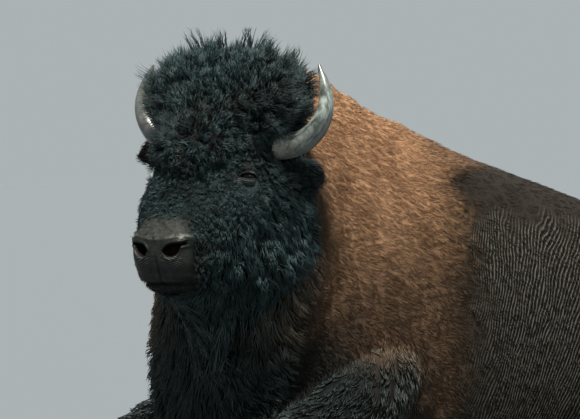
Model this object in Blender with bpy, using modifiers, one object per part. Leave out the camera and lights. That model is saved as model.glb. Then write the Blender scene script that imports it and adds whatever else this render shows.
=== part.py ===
"""A bull American bison at rest: lying on its chest with its legs folded, its head up.

Life size, in metres, +Z up, floor at z = 0. The body's long axis runs along X with the head
toward -X, and the animal's left side faces -Y. The head is turned a little to its left.
"""

import math

import bmesh
import bpy
from mathutils import Matrix, Vector

# ---- Driving dimensions -------------------------------------------------------------------
GAP = 0.0003  # clearance between neighbouring pieces

# Outline of the trunk, coat included, at stations along the body: x, height of the back,
# height of the underside, half width, height of the widest place, narrowing of the upper body
TRUNK_STATIONS = (
    (-0.47, 0.62, 0.12, 0.12, 0.34, 0.0),
    (-0.40, 0.86, 0.04, 0.20, 0.37, 0.1),
    (-0.28, 1.06, -0.03, 0.27, 0.40, 0.2),
    (-0.14, 1.18, -0.03, 0.31, 0.42, 0.32),
    (0.00, 1.220, -0.03, 0.335, 0.42, 0.38),
    (0.10, 1.170, -0.03, 0.35, 0.42, 0.36),
    (0.22, 1.100, -0.03, 0.355, 0.42, 0.32),
    (0.38, 1.040, -0.03, 0.37, 0.42, 0.24),
    (0.56, 0.962, -0.03, 0.39, 0.40, 0.12),
    (0.80, 0.888, -0.03, 0.39, 0.37, 0.0),
    (1.05, 0.812, -0.03, 0.35, 0.35, -0.05),
    (1.22, 0.790, -0.02, 0.31, 0.36, -0.05),
    (1.38, 0.775, 0.03, 0.27, 0.38, -0.05),
    (1.50, 0.700, 0.11, 0.20, 0.39, -0.05),
    (1.57, 0.560, 0.22, 0.11, 0.39, 0.0),
)
BELLY_FLATNESS = 0.62  # lower is squarer toward the floor

# Neck: x, y, turn to the left in degrees, top, underside, half width
NECK_STATIONS = (
    (-0.02, 0.00, 0.0, 1.17, 0.10, 0.29),
    (-0.17, -0.04, 16.0, 1.14, 0.10, 0.28),
    (-0.29, -0.12, 26.0, 1.13, 0.16, 0.26),
    (-0.37, -0.19, 24.0, 1.13, 0.27, 0.235),
    (-0.44, -0.23, 21.0, 1.08, 0.36, 0.20),
)

# The head's own frame: origin midway between the horns, +X forward, +Y to its left, +Z up
HEAD_PLACE = (-0.410, -0.213, 0.986)
HEAD_TURN = 21.0  # degrees to the animal's left

# Rings of the head from the poll to the nose, in its frame:
# x, z of the ring's top, x, z of its underside, half width, roundness (lower is squarer)
FACE_STATIONS = (
    (-0.10, 0.07, -0.15, -0.17, 0.13, 1.0),
    (-0.02, 0.10, -0.10, -0.28, 0.165, 1.0),
    (0.10, 0.06, -0.03, -0.345, 0.185, 0.86),
    (0.18, -0.01, 0.05, -0.365, 0.194, 0.80),
    (0.245, -0.085, 0.12, -0.38, 0.180, 0.80),
    (0.300, -0.140, 0.18, -0.395, 0.154, 0.80),
    (0.340, -0.180, 0.235, -0.408, 0.128, 0.76),
    (0.370, -0.208, 0.29, -0.425, 0.108, 0.72),
    (0.390, -0.230, 0.335, -0.435, 0.101, 0.68),
    (0.403, -0.252, 0.368, -0.430, 0.092, 0.68),
    (0.410, -0.288, 0.388, -0.405, 0.064, 0.76),
)

# Hair masses of the head, in its frame: middle, half sizes
HAIR_MASSES = (
    ((0.045, 0.0, 0.115), (0.18, 0.195, 0.178)),
    ((0.055, 0.105, 0.145), (0.140, 0.155, 0.148)),
    ((0.055, -0.085, 0.145), (0.140, 0.145, 0.145)),
    ((-0.035, 0.105, 0.135), (0.125, 0.145, 0.140)),
    ((-0.035, -0.085, 0.135), (0.125, 0.140, 0.140)),
    ((0.15, 0.0, -0.01), (0.125, 0.15, 0.13)),
    ((-0.03, 0.11, -0.18), (0.16, 0.115, 0.20)),
    ((-0.03, -0.11, -0.18), (0.16, 0.115, 0.20)),
    ((0.10, 0.095, -0.28), (0.18, 0.09, 0.15)),
    ((0.10, -0.095, -0.28), (0.18, 0.09, 0.15)),
    ((0.0, 0.120, -0.36), (0.13, 0.105, 0.16)),
    ((0.0, -0.120, -0.36), (0.13, 0.105, 0.16)),
)
# Muscle over the left shoulder blade and upper arm: middle, half sizes
SHOULDER_MASS = ((0.09, -0.195, 0.50), (0.22, 0.17, 0.28))

# Beard, from the throat down: x, z, half length along the jaw, half width
BEARD_STATIONS = (
    (0.10, -0.30, 0.20, 0.13),
    (0.12, -0.42, 0.22, 0.145),
    (0.11, -0.53, 0.205, 0.135),
    (0.10, -0.64, 0.155, 0.105),
    (0.09, -0.74, 0.085, 0.065),
    (0.085, -0.785, 0.025, 0.025),
)

# Left horn along its middle, in the head's frame: x, y, z, radius
HORN_STATIONS = (
    (0.000, 0.085, 0.012, 0.046),
    (0.000, 0.140, 0.000, 0.043),
    (-0.002, 0.195, -0.001, 0.0385),
    (-0.003, 0.245, 0.016, 0.034),
    (-0.003, 0.285, 0.050, 0.030),
    (-0.003, 0.308, 0.095, 0.0255),
    (-0.006, 0.311, 0.140, 0.020),
    (-0.010, 0.300, 0.182, 0.0135),
    (-0.014, 0.286, 0.214, 0.0065),
    (-0.016, 0.280, 0.230, 0.002),
)
# Ears: x, y, z, half breadth. The left is laid back, and the right is held out.
EAR_STATIONS = {
    "left": (
        (-0.040, 0.150, -0.052, 0.018),
        (-0.070, 0.192, -0.060, 0.034),
        (-0.100, 0.212, -0.076, 0.041),
        (-0.130, 0.218, -0.096, 0.030),
        (-0.150, 0.216, -0.114, 0.008),
    ),
    "right": (
        (-0.100, -0.150, -0.035, 0.022),
        (-0.085, -0.215, -0.024, 0.044),
        (-0.070, -0.275, -0.020, 0.053),
        (-0.058, -0.320, -0.030, 0.045),
        (-0.048, -0.352, -0.048, 0.014),
    ),
}
EAR_THINNESS = 0.36
EAR_FACING = {"left": (0.2, -0.9, 0.3), "right": (-1.0, -0.3, 0.0)}
EYE_PLACE = (0.150, 0.144, -0.090)
EYE_RADIUS = 0.021
EYE_HOLLOW = ((0.176, 0.166, -0.090), (0.026, 0.024, 0.022))
NOSTRIL = ((0.402, 0.062, -0.288), (0.028, 0.030, 0.016))

# Tail laid along the rump and on the floor: x, y, z, radius
TAIL_STATIONS = (
    (1.46, 0.00, 0.665, 0.045),
    (1.565, -0.01, 0.60, 0.040),
    (1.622, -0.03, 0.46, 0.033),
    (1.645, -0.07, 0.28, 0.028),
    (1.640, -0.13, 0.12, 0.025),
    (1.615, -0.22, 0.036, 0.026),
    (1.580, -0.33, 0.036, 0.036),
    (1.545, -0.43, 0.038, 0.040),
    (1.515, -0.51, 0.030, 0.026),
    (1.500, -0.55, 0.024, 0.008),
)
TUFT_CUT = ((1.615, -0.22, 0.0), (-0.35, -1.0, 0.0))

# Legs of the left side: x, y, z, radius. The right side mirrors them with small shifts.
FOREARM = (
    (0.17, -0.170, 0.43, 0.13),
    (0.10, -0.230, 0.34, 0.145),
    (0.00, -0.288, 0.255, 0.135),
    (-0.11, -0.322, 0.195, 0.118),
    (-0.23, -0.333, 0.15, 0.102),
    (-0.36, -0.325, 0.105, 0.085),
    (-0.455, -0.305, 0.085, 0.078),
    (-0.50, -0.285, 0.08, 0.055),
)
FORE_SHANK = (
    (-0.475, -0.235, 0.058, 0.050),
    (-0.40, -0.215, 0.056, 0.048),
    (-0.29, -0.198, 0.052, 0.040),
    (-0.20, -0.190, 0.052, 0.041),
    (-0.13, -0.186, 0.055, 0.050),
    (-0.085, -0.186, 0.055, 0.046),
    (-0.05, -0.188, 0.052, 0.040),
)
# Masses of the left haunch: middle, half sizes
HAUNCH_MASSES = (
    ((1.19, -0.190, 0.42), (0.35, 0.20, 0.30)),
    ((1.01, -0.290, 0.33), (0.25, 0.15, 0.22)),
    ((0.90, -0.315, 0.27), (0.15, 0.12, 0.16)),
)
GASKIN = (
    (0.90, -0.330, 0.25, 0.09),
    (0.97, -0.345, 0.24, 0.12),
    (1.09, -0.36, 0.20, 0.115),
    (1.23, -0.365, 0.15, 0.092),
    (1.36, -0.355, 0.108, 0.073),
    (1.43, -0.345, 0.092, 0.060),
    (1.46, -0.34, 0.087, 0.038),
)
HIND_SHANK = (
    (1.440, -0.388, 0.072, 0.044),
    (1.395, -0.405, 0.063, 0.056),
    (1.32, -0.43, 0.056, 0.050),
    (1.20, -0.452, 0.050, 0.042),
    (1.08, -0.466, 0.050, 0.042),
    (0.995, -0.474, 0.054, 0.052),
    (0.95, -0.478, 0.052, 0.047),
    (0.915, -0.482, 0.050, 0.041),
)
RIGHT_FORE_SHIFT = -0.035
RIGHT_HIND_SHIFT = 0.045

HOOF_LENGTH = 0.105
HOOF_BREADTH = 0.048
HOOF_DEPTH = 0.066
HOOF_SPLAY = 5.0  # degrees each claw turns away from the other
DEWCLAW_SIZES = (0.018, 0.011, 0.014)  # half length, half breadth, half depth
DEWCLAW_PLACE = (0.012, 0.026, 0.047)  # along the shank, to either side, toward the sole
FOLD_ROOM = 0.022  # how far the hollow under the chest clears a folded shank
HOOF_ROOM = 0.012

# Cuts that part the body: a point on each and its normal, which points to the first piece
HEAD_CUT = ((-0.115, 0.0, 0.0), (1.0, 0.0, 0.10))
BEARD_CUT = ((0.18, 0.0, -0.452), (0.02, 0.0, -1.0))
NECK_CUT = ((-0.27, -0.06, 0.75), (-0.84, -0.32, 0.36))
SHOULDER_END = 0.47
BARREL_END = 1.02

# Triangles kept in each form
BODY_TRIANGLES = 1920
UPPER_LEG_TRIANGLES = {"fore": 180, "hind": 240}
LIMB_SIDES = 8
HORN_SIDES = 10
VOXEL = 0.016

COLOURS = {
    "black_hair": (0.012, 0.014, 0.015),
    "brown_cape": (0.145, 0.070, 0.035),
    "dark_coat": (0.045, 0.032, 0.024),
    "horn": (0.16, 0.155, 0.125),
    "hoof": (0.03, 0.027, 0.024),
    "eye": (0.012, 0.008, 0.006),
}
ROUGHNESS = {"horn": 0.35, "hoof": 0.5, "eye": 0.08}


# ---- Scene --------------------------------------------------------------------------------
def empty_scene():
    for found in list(bpy.data.objects):
        bpy.data.objects.remove(found, do_unlink=True)


def collection(name):
    made = bpy.data.collections.new(name)
    bpy.context.scene.collection.children.link(made)
    return made


def add(name, mesh, group):
    made = bpy.data.objects.new(name, mesh)
    group.objects.link(made)
    return made


def finish(piece, kind):
    """Gives a piece a material of its own in the colour of its kind."""
    look = bpy.data.materials.new(piece.name)
    look.use_nodes = True
    shader = look.node_tree.nodes["Principled BSDF"]
    shader.inputs["Base Color"].default_value = (*COLOURS[kind], 1.0)
    shader.inputs["Roughness"].default_value = ROUGHNESS.get(kind, 0.85)
    shader.inputs["Metallic"].default_value = 0.0
    piece.data.materials.clear()
    piece.data.materials.append(look)
    if kind in ROUGHNESS:
        piece.data.shade_smooth()
        piece.data.set_sharp_from_angle(angle=math.radians(40))


# ---- Curves and rings -----------------------------------------------------------------------
def spline(stations, steps):
    """Points on a smooth curve through the stations, which may carry radii and other sizes."""
    held = [stations[0], *stations, stations[-1]]
    points = []
    for before, start, end, after in zip(held, held[1:], held[2:], held[3:]):
        for step in range(steps):
            t = step / steps
            points.append(
                [
                    b + 0.5 * t * (c - a + t * (2 * a - 5 * b + 4 * c - d + t * (3 * (b - c) + d - a)))
                    for a, b, c, d in zip(before, start, end, after)
                ]
            )
    return points + [list(stations[-1])]


def lofted(name, rings, group):
    """A closed skin over a row of rings of equal count."""
    shape = bmesh.new()
    loops = [[shape.verts.new(point) for point in ring] for ring in rings]
    count = len(loops[0])
    for near, far in zip(loops, loops[1:]):
        for i in range(count):
            j = (i + 1) % count
            shape.faces.new((near[i], near[j], far[j], far[i]))
    shape.faces.new(loops[0][::-1])
    shape.faces.new(loops[-1])
    bmesh.ops.recalc_face_normals(shape, faces=shape.faces)
    mesh = bpy.data.meshes.new(name)
    shape.to_mesh(mesh)
    shape.free()
    return add(name, mesh, group)


def ellipse(middle, across, up, sides, roundness=1.0):
    """A ring of points, an ellipse at roundness 1 and fuller in its corners below that."""
    points = []
    for i in range(sides):
        angle = 2 * math.pi * i / sides
        reach = [math.copysign(abs(v) ** roundness, v) for v in (math.sin(angle), math.cos(angle))]
        points.append(middle + across * reach[0] + up * reach[1])
    return points


def tube(name, stations, group, sides=LIMB_SIDES, steps=2, thin=1.0, thin_way=(0.3, 1.0, 0.2)):
    """A round or flattened limb along stations of x, y, z, radius."""
    points = spline(stations, steps)
    places = [Vector(p[:3]) for p in points]
    across = Vector(thin_way)
    rings = []
    for i, middle in enumerate(places):
        along = (places[min(i + 1, len(places) - 1)] - places[max(i - 1, 0)]).normalized()
        across = (across - along * across.dot(along)).normalized()
        up = along.cross(across)
        rings.append(ellipse(middle, across * points[i][3] * thin, up * points[i][3], sides))
    return lofted(name, rings, group)


# ---- Mesh tools -----------------------------------------------------------------------------
def evaluated(piece, modifiers=()):
    """Runs modifiers on a piece and keeps their result as its mesh."""
    for kind, settings in modifiers:
        modifier = piece.modifiers.new(kind.title(), kind)
        for setting, value in settings.items():
            setattr(modifier, setting, value)
    graph = bpy.context.evaluated_depsgraph_get()
    mesh = bpy.data.meshes.new_from_object(piece.evaluated_get(graph))
    piece.modifiers.clear()
    piece.data = mesh
    return piece


def combine(piece, other, operation):
    evaluated(piece, [("BOOLEAN", {"operation": operation, "object": other, "solver": "EXACT"})])


def islands(shape):
    """The separate bodies of a mesh, as lists of faces."""
    left = set(shape.faces)
    found = []
    while left:
        body = [left.pop()]
        for face in body:
            for edge in face.edges:
                for other in edge.link_faces:
                    if other in left:
                        left.remove(other)
                        body.append(other)
        found.append(body)
    return found


def keep_main_body(piece):
    """Drops the slivers that a cut leaves beside the main body."""
    shape = bmesh.new()
    shape.from_mesh(piece.data)
    bodies = sorted(islands(shape), key=lambda body: sum(f.calc_area() for f in body))
    spare = [face for body in bodies[:-1] for face in body]
    bmesh.ops.delete(shape, geom=spare, context="FACES")
    shape.to_mesh(piece.data)
    shape.free()


def grown(piece, group, by=GAP):
    """A copy of a piece, larger all over by the clearance, to cut its neighbours with."""
    shape = bmesh.new()
    shape.from_mesh(piece.data)
    shape.normal_update()
    for vert in shape.verts:
        vert.co += vert.normal * by
    mesh = bpy.data.meshes.new(piece.name + "_cutter")
    shape.to_mesh(mesh)
    shape.free()
    return add(mesh.name, mesh, group)


def make_room(piece, cutters):
    """Cuts grown copies of its neighbours out of a piece."""
    for cutter in cutters:
        combine(piece, cutter, "DIFFERENCE")
    keep_main_body(piece)


def half_space(point, normal, group, side, size=4.0):
    """A large box whose face lies on a plane, on one side of it, half the clearance away."""
    normal = Vector(normal).normalized() * side
    bpy.ops.mesh.primitive_cube_add(size=size)
    box = bpy.context.active_object
    box.name = "cut_box"
    turn = normal.to_track_quat("Z", "Y").to_matrix().to_4x4()
    place = Vector(point) + normal * (GAP / 2 - size / 2)
    box.data.transform(Matrix.Translation(place) @ turn)
    for home in list(box.users_collection):
        home.objects.unlink(box)
    group.objects.link(box)
    return box


def split(piece, name, point, normal, group, cutters):
    """Parts off the side of a piece that the normal points to, under a new name."""
    first = add(name, piece.data.copy(), group)
    combine(first, half_space(point, normal, cutters, 1), "DIFFERENCE")
    combine(piece, half_space(point, normal, cutters, -1), "DIFFERENCE")
    keep_main_body(first)
    keep_main_body(piece)
    return first


def cut_at_floor(piece, cutters):
    floor = half_space((0, 0, -GAP / 2), (0, 0, 1), cutters, 1)
    combine(piece, floor, "DIFFERENCE")
    keep_main_body(piece)


def triangle_count(mesh):
    return sum(len(face.vertices) - 2 for face in mesh.polygons)


# ---- Forms ----------------------------------------------------------------------------------
HEAD = Matrix.Translation(HEAD_PLACE) @ Matrix.Rotation(math.radians(180 + HEAD_TURN), 4, "Z")


def in_head(point):
    return HEAD @ Vector(point)


def mirrored(stations, shift=0.0):
    return [(s[0] + shift, -s[1], *s[2:]) for s in stations]


def head_stations(stations, side):
    """Stations given in the head's frame for its left side, in the world."""
    return [(*in_head((s[0], s[1] * side, s[2])), s[3]) for s in stations]


def trunk_form(group):
    rings = []
    for x, top, under, half, widest, narrowing in spline(TRUNK_STATIONS, 3):
        ring = []
        for i in range(36):
            angle = math.pi * i / 18
            across = abs(math.sin(angle))
            rise = math.cos(angle)
            if rise >= 0:
                y = half * ((1 - narrowing) * across + narrowing * across**4)
                z = widest + (top - widest) * rise
            else:
                y = half * across**BELLY_FLATNESS
                z = widest + (widest - under) * rise
            ring.append((x, math.copysign(y, math.sin(angle)), z))
        rings.append(ring)
    return lofted("trunk_form", rings, group)


def neck_form(group):
    rings = []
    for x, y, turn, top, under, half in spline(NECK_STATIONS, 3):
        heading = math.radians(turn)
        across = Vector((-math.sin(heading), math.cos(heading), 0.0))
        middle = Vector((x, y, (top + under) / 2))
        rings.append(ellipse(middle, across * half, Vector((0, 0, (top - under) / 2)), 28))
    return lofted("neck_form", rings, group)


def face_form(group):
    rings = []
    for top_x, top_z, under_x, under_z, half, roundness in spline(FACE_STATIONS, 2):
        top = Vector((top_x, 0.0, top_z))
        under = Vector((under_x, 0.0, under_z))
        ring = ellipse((top + under) / 2, Vector((0, half, 0)), (top - under) / 2, 28, roundness)
        rings.append([in_head(point) for point in ring])
    return lofted("face_form", rings, group)


def beard_form(group):
    rings = []
    for x, z, long_half, half in spline(BEARD_STATIONS, 3):
        ring = ellipse(Vector((x, 0.0, z)), Vector((0, half, 0)), Vector((long_half, 0, 0)), 20)
        rings.append([in_head(point) for point in ring])
    return lofted("beard_form", rings, group)


def head_ball(name, middle, sizes, group, segments=28, rings=18):
    place = HEAD @ Matrix.Translation(middle) @ Matrix.Diagonal((*sizes, 1.0))
    return round_form(name, place, group, segments, rings)


def fused(name, forms, triangles, group):
    """One smooth closed body over overlapping forms."""
    shape = bmesh.new()
    for form in forms:
        shape.from_mesh(form.data)
        bpy.data.objects.remove(form, do_unlink=True)
    mesh = bpy.data.meshes.new(name)
    shape.to_mesh(mesh)
    shape.free()
    body = add(name, mesh, group)
    evaluated(
        body,
        [
            ("REMESH", {"mode": "VOXEL", "voxel_size": VOXEL}),
            ("SMOOTH", {"factor": 0.6, "iterations": 6}),
        ],
    )
    keep_main_body(body)
    ratio = triangles / triangle_count(body.data)
    evaluated(
        body,
        [
            ("DECIMATE", {"ratio": ratio, "use_collapse_triangulate": True}),
        ],
    )
    return body


def claw(name, tip, back, side, sole, group):
    """One claw of a cloven hoof: a blunt wedge with a flat sole, its toe toward the tip."""
    along = (tip - back).normalized()
    down = (sole - along * sole.dot(along)).normalized()
    across = along.cross(down).normalized() * side
    spread = math.radians(HOOF_SPLAY)
    along = (along * math.cos(spread) + across * math.sin(spread)).normalized()
    across = (across - along * across.dot(along)).normalized()
    root = back + across * (HOOF_BREADTH * 0.53)
    rings = []
    for share, breadth, depth, drop in (
        (0.0, 0.34, 0.60, 0.02),
        (0.12, 0.46, 0.86, 0.0),
        (0.40, 0.50, 1.0, 0.0),
        (0.68, 0.45, 0.84, 0.03),
        (0.88, 0.31, 0.56, 0.12),
        (1.0, 0.12, 0.22, 0.24),
    ):
        middle = root + along * (HOOF_LENGTH * share) - across * (HOOF_BREADTH * 0.12 * share)
        middle += down * (HOOF_DEPTH * (0.5 - depth / 2 - drop * 0.2))
        ring = ellipse(middle, across * (HOOF_BREADTH * breadth), down * (HOOF_DEPTH * depth / 2), 8)
        rings.append(ring)
    return lofted(name, rings, group)


def round_form(name, transform, group, segments=28, rings=18):
    """A ball under a transform, such as a mass of hair, an eye or a dewclaw."""
    bpy.ops.mesh.primitive_uv_sphere_add(segments=segments, ring_count=rings, radius=1.0)
    made = bpy.context.active_object
    made.name = name
    made.data.transform(transform)
    for home in list(made.users_collection):
        home.objects.unlink(made)
    group.objects.link(made)
    return made


def dewclaw(name, place, along, across, group):
    turn = Matrix((along, across, along.cross(across))).transposed().to_4x4()
    sizes = Matrix.Diagonal((*DEWCLAW_SIZES, 1.0))
    return round_form(name, Matrix.Translation(place) @ turn @ sizes, group, 6, 5)


def foot(limb, shank, sole, group):
    """The two claws and two dewclaws at a shank's end."""
    ends = [Vector(s[:3]) for s in shank]
    along = (ends[-1] - ends[-3]).normalized()
    start = ends[-1] - along * HOOF_LENGTH * 0.11
    made = []
    for label, side in (("outer", 1), ("inner", -1)):
        made.append(claw(f"hoof_{limb}_{label}", start + along, start, side, sole, group))
    across = along.cross(sole).normalized()
    for label, side in (("outer", 1), ("inner", -1)):
        place = ends[-3] + along * DEWCLAW_PLACE[0]
        place += across * DEWCLAW_PLACE[1] * side + sole * DEWCLAW_PLACE[2]
        made.append(dewclaw(f"dewclaw_{limb}_{label}", place, along, across, group))
    return made


def roomy(shank):
    """The hollow that a folded shank and its hoof lie in, under the chest."""
    end, before = Vector(shank[-1][:3]), Vector(shank[-3][:3])
    tip = end + (end - before).normalized() * (HOOF_LENGTH + HOOF_ROOM)
    room = [(x, y, z, radius + FOLD_ROOM) for x, y, z, radius in shank]
    return [*room, (*tip, HOOF_BREADTH + HOOF_ROOM)]


def legs_of(side_name, sign, group, cutters):
    """The folded legs of one side, as (upper, lower, feet), and the hollows they lie in."""
    fore_shift = RIGHT_FORE_SHIFT if sign < 0 else 0.0
    hind_shift = RIGHT_HIND_SHIFT if sign < 0 else 0.0

    def placed(stations, shift):
        return mirrored(stations, shift) if sign < 0 else list(stations)

    limbs = []
    hollows = []
    for end, upper, masses, shank, sole, shift in (
        ("fore", FOREARM, (), FORE_SHANK, Vector((0.1, 0.15 * sign, 1.0)), fore_shift),
        ("hind", GASKIN, HAUNCH_MASSES, HIND_SHANK, Vector((0.0, 0.25 * sign, -1.0)), hind_shift),
    ):
        limb = f"{end}leg_{side_name}"
        shank = placed(shank, shift)
        feet = foot(limb, shank, sole.normalized(), group)
        lower = tube(f"{limb}_lower", shank, group, steps=1)
        uppers = [tube(f"{limb}_upper_form", placed(upper, shift), group, sides=14)]
        for (x, y, z), sizes in masses:
            place = Matrix.Translation((x + shift, y * sign, z)) @ Matrix.Diagonal((*sizes, 1.0))
            uppers.append(round_form(f"{limb}_haunch_form", place, group))
        top = fused(f"{limb}_upper", uppers, UPPER_LEG_TRIANGLES[end], group)
        make_room(top, [grown(lower, cutters)])
        make_room(lower, [grown(piece, cutters) for piece in feet])
        limbs.append((top, lower, feet))
        if end == "fore":
            hollows.append(tube(f"{limb}_room", roomy(shank), cutters))
    return limbs, hollows


def centre_over_origin(group):
    """Moves every piece so that the whole stands on z = 0 with its box's middle on the Z axis."""
    corners = [vert.co for piece in group.objects for vert in piece.data.vertices]
    low = Vector(min(corner[i] for corner in corners) for i in range(3))
    high = Vector(max(corner[i] for corner in corners) for i in range(3))
    shift = Vector((-(low.x + high.x) / 2, -(low.y + high.y) / 2, -low.z))
    for piece in group.objects:
        piece.data.transform(Matrix.Translation(shift))


def main():
    empty_scene()
    group = collection("bison")
    cutters = collection("cutters")

    forms = [trunk_form(group), neck_form(group), face_form(group), beard_form(group)]
    for number, (middle, sizes) in enumerate(HAIR_MASSES):
        forms.append(head_ball(f"hair_form_{number}", middle, sizes, group))
    for sign in (1, -1):
        (x, y, z), sizes = SHOULDER_MASS
        place = Matrix.Translation((x, y * sign, z)) @ Matrix.Diagonal((*sizes, 1.0))
        forms.append(round_form("shoulder_form", place, group))
    body = fused("trunk_front", forms, BODY_TRIANGLES, group)

    forward = HEAD.to_3x3() @ Vector((1.0, 0.0, 0.0))
    horns, ears, eyes, hollows = [], [], [], []
    for side_name, side in (("left", 1), ("right", -1)):
        horn = head_stations(HORN_STATIONS, side)
        horns.append(tube(f"horn_{side_name}", horn, group, sides=HORN_SIDES, thin_way=forward))
        ear = head_stations(EAR_STATIONS[side_name], 1)
        ears.append(
            tube(f"ear_{side_name}", ear, group, thin=EAR_THINNESS, thin_way=EAR_FACING[side_name])
        )
        x, y, z = EYE_PLACE
        eye = (x, y * side, z)
        eyes.append(head_ball(f"eye_{side_name}", eye, [EYE_RADIUS] * 3, group, 12, 7))
        for number, ((x, y, z), sizes) in enumerate((EYE_HOLLOW, NOSTRIL)):
            hollow = f"hollow_{side_name}_{number}"
            hollows.append(head_ball(hollow, (x, y * side, z), sizes, cutters, 8, 6))

    tail = tube("tail", TAIL_STATIONS, group, sides=10)
    left_limbs, left_hollows = legs_of("left", 1, group, cutters)
    right_limbs, right_hollows = legs_of("right", -1, group, cutters)
    limbs = left_limbs + right_limbs
    tops = [top for top, _, _ in limbs]
    lowers = [lower for _, lower, _ in limbs]
    feet = [piece for _, _, claws in limbs for piece in claws]

    horn_room = [grown(piece, cutters) for piece in horns]
    make_room(body, [*hollows, *left_hollows, *right_hollows])
    make_room(body, [*horn_room, *(grown(piece, cutters) for piece in (*eyes, tail))])
    body_room = grown(body, cutters)
    for piece in (*ears, *tops):
        make_room(piece, [body_room])
    for ear, room in zip(ears, horn_room):
        make_room(ear, [room])

    head_point, head_normal = HEAD_CUT
    head_normal = HEAD.to_3x3() @ Vector(head_normal)
    head = split(body, "head", in_head(head_point), head_normal, group, cutters)
    beard_point, beard_normal = BEARD_CUT
    beard_normal = HEAD.to_3x3() @ Vector(beard_normal)
    beard = split(head, "beard", in_head(beard_point), beard_normal, group, cutters)
    neck = split(body, "neck", *NECK_CUT, group, cutters)
    rump = split(body, "trunk_rear", (BARREL_END, 0, 0), (1, 0, 0), group, cutters)
    barrel = split(body, "trunk_middle", (SHOULDER_END, 0, 0), (1, 0, 0), group, cutters)
    tuft = split(tail, "tail_tuft", *TUFT_CUT, group, cutters)
    for piece in (body, barrel, rump, neck, *tops, *lowers, *feet, tail, tuft):
        cut_at_floor(piece, cutters)

    centre_over_origin(group)
    for cutter in cutters.objects:
        cutter.hide_render = True
        cutter.display_type = "WIRE"
    for piece in (head, beard, neck, *ears, tuft, tail):
        finish(piece, "black_hair")
    finish(body, "brown_cape")
    for piece in (barrel, rump, *tops, *lowers):
        finish(piece, "dark_coat")
    for piece in horns:
        finish(piece, "horn")
    for piece in feet:
        finish(piece, "hoof")
    for piece in eyes:
        finish(piece, "eye")


main()
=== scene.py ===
"""The looks of a bison bull lying at rest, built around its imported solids.

Metres throughout, in the model's own frame: +X from head to rump, +Y to the animal's right.
The head's frame has its origin midway between the horns, +X forward, +Y to the animal's left.
"""

import math

import bmesh
import bpy
import numpy as np
from mathutils import Matrix, Vector
from mathutils.bvhtree import BVHTree
from mathutils.kdtree import KDTree


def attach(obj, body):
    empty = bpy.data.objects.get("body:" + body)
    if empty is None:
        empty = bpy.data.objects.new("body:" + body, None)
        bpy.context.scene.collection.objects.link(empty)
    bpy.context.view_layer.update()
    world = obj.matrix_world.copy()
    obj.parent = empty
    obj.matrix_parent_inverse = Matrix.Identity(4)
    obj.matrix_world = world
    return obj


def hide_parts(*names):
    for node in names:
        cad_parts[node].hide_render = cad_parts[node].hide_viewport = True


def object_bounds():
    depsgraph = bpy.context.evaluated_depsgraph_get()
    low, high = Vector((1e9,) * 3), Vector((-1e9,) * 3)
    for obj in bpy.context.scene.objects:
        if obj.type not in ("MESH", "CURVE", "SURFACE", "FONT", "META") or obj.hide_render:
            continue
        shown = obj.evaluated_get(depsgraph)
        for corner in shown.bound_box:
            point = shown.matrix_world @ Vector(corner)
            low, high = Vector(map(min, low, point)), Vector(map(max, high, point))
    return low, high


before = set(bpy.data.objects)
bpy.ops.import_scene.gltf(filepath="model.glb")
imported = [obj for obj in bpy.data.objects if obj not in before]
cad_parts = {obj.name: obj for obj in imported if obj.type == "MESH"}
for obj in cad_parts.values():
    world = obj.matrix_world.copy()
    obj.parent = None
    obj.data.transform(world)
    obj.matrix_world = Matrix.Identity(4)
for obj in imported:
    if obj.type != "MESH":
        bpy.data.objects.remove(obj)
cad_box = [list(corner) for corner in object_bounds()]

# Every place below is written before this shift, which centres the model on the origin
SHIFT = np.array((-0.43235, 0.00959, 0.0))
HEAD_PLACE = Vector(SHIFT + (-0.410, -0.213, 0.986))
HEAD_TURN = math.radians(201.0)
HEAD = Matrix.Translation(HEAD_PLACE) @ Matrix.Rotation(HEAD_TURN, 4, "Z")
TURN = np.array(HEAD.to_3x3())
PLACE = np.array(HEAD_PLACE)
# The left side and the right, as factors on a place in the head's frame
SIDES = np.array(((1, 1, 1), (1, -1, 1)))

EYE = np.array((0.150, 0.144, -0.090))
EYE_RADIUS = 0.021
GAZE = np.array((0.62, 0.78, 0.0)) / np.linalg.norm((0.62, 0.78, 0.0))
EYE_FRONT = np.cross(GAZE, (0.0, 0.0, 1.0))
EYE_UP = np.cross(EYE_FRONT, GAZE)
EYE_HALF = 0.0250  # half the width of the opening between the lids
LID_PLEAT = 0.0052  # from pleat to pleat under the eye
NOSTRIL = np.array((0.392, 0.050, -0.288))
NOSTRIL_OUT = np.array((0.90, 0.43, 0.06)) / np.linalg.norm((0.90, 0.43, 0.06))
NOSTRIL_ALONG = np.array((-0.030, 0.061, 0.008))
RIM_HEIGHT = -0.256  # of the upper edge of the nose's bare pad
MUZZLE_MIDDLE = 0.28  # how far forward the middle of the muzzle lies

SKIN_VOXEL = 0.012
# Ridges of the short flank coat: how close they start, and how fast they widen toward the rump
RIDGE_TURNS, RIDGE_WIDENS = 46.0, 2.8


# ---- Numbers over the surface --------------------------------------------------------------
def to_head(points):
    """Places in the model's frame as places in the head's."""
    return (points - PLACE) @ TURN


def from_head(points):
    """Places in the head's frame as places in the model's."""
    return points @ TURN.T + PLACE


def ease(value, low, high):
    """0 below low, 1 above high, with a smooth rise between."""
    share = np.clip((value - low) / (high - low), 0.0, 1.0)
    return share * share * (3.0 - 2.0 * share)


def bell(value, middle, width):
    """1 at the middle, falling off smoothly over the width on both sides."""
    return np.exp(-(((value - middle) / width) ** 2))


def ways(*parts):
    """Vectors from their three parts, each a column or one number."""
    return np.stack(np.broadcast_arrays(*parts), 1)


def unit(vectors):
    return vectors / np.maximum(np.linalg.norm(vectors, axis=-1, keepdims=True), 1e-9)


def along_surface(vectors, normals):
    """Directions without the part that leaves the surface."""
    return unit(vectors - normals * (vectors * normals).sum(1, keepdims=True))


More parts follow.
